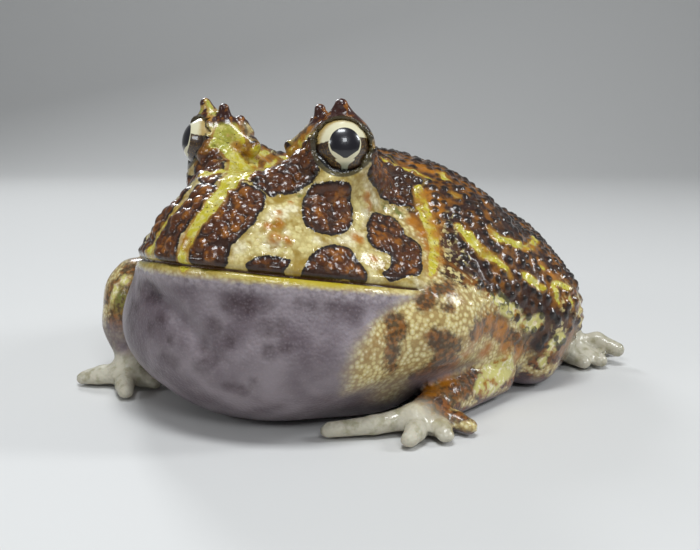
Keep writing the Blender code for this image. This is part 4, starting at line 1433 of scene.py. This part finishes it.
def make_eye(side):
    sign = 1 if side == "left" else -1
    axis = Vector(pupil_axis * (sign, 1, 1))
    across = axis.cross(Vector((0, 0, 1))).normalized()
    upward = across.cross(axis)
    bpy.ops.object.select_all(action="DESELECT")
    bpy.ops.mesh.primitive_uv_sphere_add(
        segments=96, ring_count=64, radius=EYE_RADIUS,
        rotation=Vector((0, 0, 1)).rotation_difference(axis).to_euler(),
    )
    eye = bpy.context.object
    eye.name = f"glossy_eye_{side}"
    eye.data.name = eye.name
    bpy.ops.object.transform_apply(location=True, rotation=True, scale=True)
    points = coordinates(eye.data)
    way = points / np.linalg.norm(points, axis=1)[:, None]
    front = np.clip(way @ np.array(axis), 0, 1)
    points += way * (CORNEA_BULGE * soft(front, 0.72, 0.95))[:, None]
    for name, direction in zip(EYE_MARKS, (across, upward, axis)):
        attribute = eye.data.attributes.new(name, "FLOAT", "POINT")
        values = way @ np.array(direction) * EYE_RADIUS
        attribute.data.foreach_set("value", values.astype(np.float32))
    place_vertices(eye.data, points + EYE_CENTRE * (sign, 1, 1))
    eye.data.transform(TO_SCENE)
    bpy.ops.object.shade_smooth()
    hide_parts(f"eye_{side}")
    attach(eye, "root")
    return eye


eyes = [make_eye(side) for side in ("left", "right")]
print("eyes:", [eye.name for eye in eyes])

# %% [markdown]
# The eyeball is wet too: a clear, very smooth coat gives it sharp highlights. The iris is
# painted by distances in millimetres from the eye's axis. The pupil is a disc
# whose lower sides slant to a blunt point; a pale ring sits a little lower, and a wedge
# flares down from it.

# %% Pattern of the eye
PUPIL_BLACK, IRIS_PALE, IRIS_GOLD, IRIS_BRONZE = "#0a0610", "#ddd6b4", "#b3985a", "#2c1a0c"
# the last colour is painted shade, for the eyeball's edge where it goes under the lids
IRIS_FLECK, IRIS_GREY, BALL_EDGE_SHADE = "#7d5e26", "#8f937c", "#1a140e"
PUPIL_RADIUS = 2.82
RING_RADIUS = PUPIL_RADIUS + 0.2

EYE_TEXTURES = [("flecks", NOISE, 0.3, 4.0), ("waves", NOISE, 0.7, 4.0)]
EYE_SUMS = [
    ("across squared", "MULTIPLY", "iris across", "iris across"),
    ("radius squared", "MULTIPLY_ADD", "iris up", "iris up", "across squared"),
    ("radius", "SQRT", "radius squared"),
    ("sideways", "ABSOLUTE", "iris across"),
    ("drop", "MULTIPLY", "iris up", -0.835),
    ("slant", "MULTIPLY_ADD", "sideways", 0.55, "drop"),
    ("off disc", "SUBTRACT", "radius", PUPIL_RADIUS),
    ("off point", "SUBTRACT", "slant", 2.52),
    ("pupil", "MAXIMUM", "off disc", "off point"),
    ("lowered", "ADD", "iris up", 0.28),
    ("lowered squared", "MULTIPLY_ADD", "lowered", "lowered", "across squared"),
    ("lowered radius", "SQRT", "lowered squared"),
    ("ring", "SUBTRACT", "lowered radius", RING_RADIUS),
    ("flare", "FADE", "iris up", -4.6, -3.1),
    ("flare squared", "MULTIPLY", "flare", "flare"),
    ("wedge half", "MULTIPLY_ADD", "flare squared", 1.2, 0.6),
    ("off wedge", "SUBTRACT", "sideways", "wedge half"),
    ("above wedge", "ADD", "iris up", 2.9),
    ("wedge", "MAXIMUM", "off wedge", "above wedge"),
    ("waver", "MULTIPLY_ADD", "waves", 0.5, -0.25),
    ("tilt", "MULTIPLY_ADD", "iris across", 0.11, "waver"),
    ("upper half", "ADD", "iris up", "tilt"),
    ("wavy radius", "ADD", "radius", "waver"),
]
EYE_COATS = {
    "bronze": [
        IRIS_BRONZE,
        (IRIS_FLECK, "flecks", 0.5, 0.68),
        (IRIS_BRONZE, "radius", 4.3, 4.9),
    ],
    "gold": [IRIS_PALE, (IRIS_GOLD, "wavy radius", 4.0, 4.9)],
    "pale": [IRIS_GREY, (IRIS_PALE, "iris up", -4.2, -3.2)],
    "eye": [
        "bronze",
        ("gold", "upper half", 0.62, 0.85),
        ("pale", "wedge", 0.1, -0.1),
        (IRIS_PALE, "ring", 0.06, -0.04),
        (PUPIL_BLACK, "pupil", 0.05, -0.05),
        # painted shade: the eyeball darkens towards its edge, under the lids
        (BALL_EDGE_SHADE, "iris front", 1.6, 0.8),
    ],
}
print("eye:", len(EYE_SUMS), "sums,", len(EYE_COATS["eye"]), "coats")

# %% Eye material
EYE_GLOSS = new_material("wet eye with gold and bronze iris")
eye_tree = EYE_GLOSS.node_tree
eye_made = weave(eye_tree, EYE_MARKS, EYE_TEXTURES, EYE_SUMS, EYE_COATS)
eye_shader = add(eye_tree, "ShaderNodeBsdfPrincipled", {
    "Base Color": eye_made["eye"],
    "Roughness": 0.3,
    "Coat Weight": 1.0,
    "Coat Roughness": 0.01,
    "Coat IOR": 1.38,
})
add(eye_tree, "ShaderNodeOutputMaterial", {"Surface": eye_shader.outputs["BSDF"]})
for eye in eyes:
    eye.data.materials.clear()
    eye.data.materials.append(EYE_GLOSS)
print("eye material nodes:", len(eye_tree.nodes))

# %% [markdown]
# The frog sits on a plain pale sweep, a floor that bends up into a backdrop, in soft
# light: a broad lamp overhead, a lamp at the left front, and two behind for the glints.

# %% Floor and light
SWEEP_HALF_WIDTH, SWEEP_FRONT, SWEEP_BEND, SWEEP_RADIUS, SWEEP_TOP = 1.6, -1.0, 0.55, 0.35, 1.5
BEND_STEPS = 16
FROG_MIDDLE = Vector((0, 0, 0.03))

away = Matrix.Rotation(CAMERA_AZIMUTH, 4, "Z")
profile = [(SWEEP_FRONT, 0.0)]
for i in range(BEND_STEPS + 1):
    turn = math.pi / 2 * i / BEND_STEPS
    rise = SWEEP_RADIUS * (1 - math.cos(turn))
    profile.append((SWEEP_BEND + SWEEP_RADIUS * math.sin(turn), rise))
profile.append((SWEEP_BEND + SWEEP_RADIUS, SWEEP_TOP))
corners = [away @ Vector((side * SWEEP_HALF_WIDTH, y, z)) for y, z in profile for side in (-1, 1)]
strips = [(2 * i, 2 * i + 1, 2 * i + 3, 2 * i + 2) for i in range(len(profile) - 1)]
sweep_mesh = bpy.data.meshes.new("pale_sweep")
sweep_mesh.from_pydata(corners, [], strips)
floor = bpy.data.objects.new("pale_sweep", sweep_mesh)
bpy.context.scene.collection.objects.link(floor)
make_active(floor)
bpy.ops.object.shade_smooth()
paper = new_material("pale matt paper")
paper_shader = add(paper.node_tree, "ShaderNodeBsdfPrincipled", {
    "Base Color": linear("#cfcecc"),
    "Roughness": 0.7,
})
add(paper.node_tree, "ShaderNodeOutputMaterial", {"Surface": paper_shader.outputs["BSDF"]})
floor.data.materials.append(paper)

LAMPS = [
    ("overhead", (0.08, -0.16, 0.62), (0.24, 0.16), 2.5),
    ("front_left", (0.42, -0.42, 0.42), (0.16, 0.16), 1.1),
    ("front_right", (-0.25, -0.55, 0.28), (0.12, 0.12), 0.5),
    ("back_left", (0.55, 0.30, 0.42), (0.12, 0.20), 1.8),
    ("back_right", (-0.45, 0.30, 0.42), (0.12, 0.20), 1.4),
]
LAMP_COLOUR = (0.93, 0.97, 1.0)
for name, place, size, power in LAMPS:
    bpy.ops.object.light_add(type="AREA", location=place)
    lamp = bpy.context.object
    lamp.name = name
    lamp.data.shape = "RECTANGLE"
    lamp.data.size, lamp.data.size_y = size
    lamp.data.energy = power
    lamp.data.color = LAMP_COLOUR
    lamp.rotation_euler = (FROG_MIDDLE - Vector(place)).to_track_quat("-Z", "Y").to_euler()

world = bpy.context.scene.world or bpy.data.worlds.new("World")
bpy.context.scene.world = world
world.use_nodes = True
world.node_tree.nodes.clear()
sky = add(world.node_tree, "ShaderNodeBackground", {"Color": linear("#dfe3e8"), "Strength": 0.25})
add(world.node_tree, "ShaderNodeOutputWorld", {"Surface": sky.outputs["Background"]})
bpy.context.scene.view_settings.view_transform = "Standard"
print("lamps:", len(LAMPS))
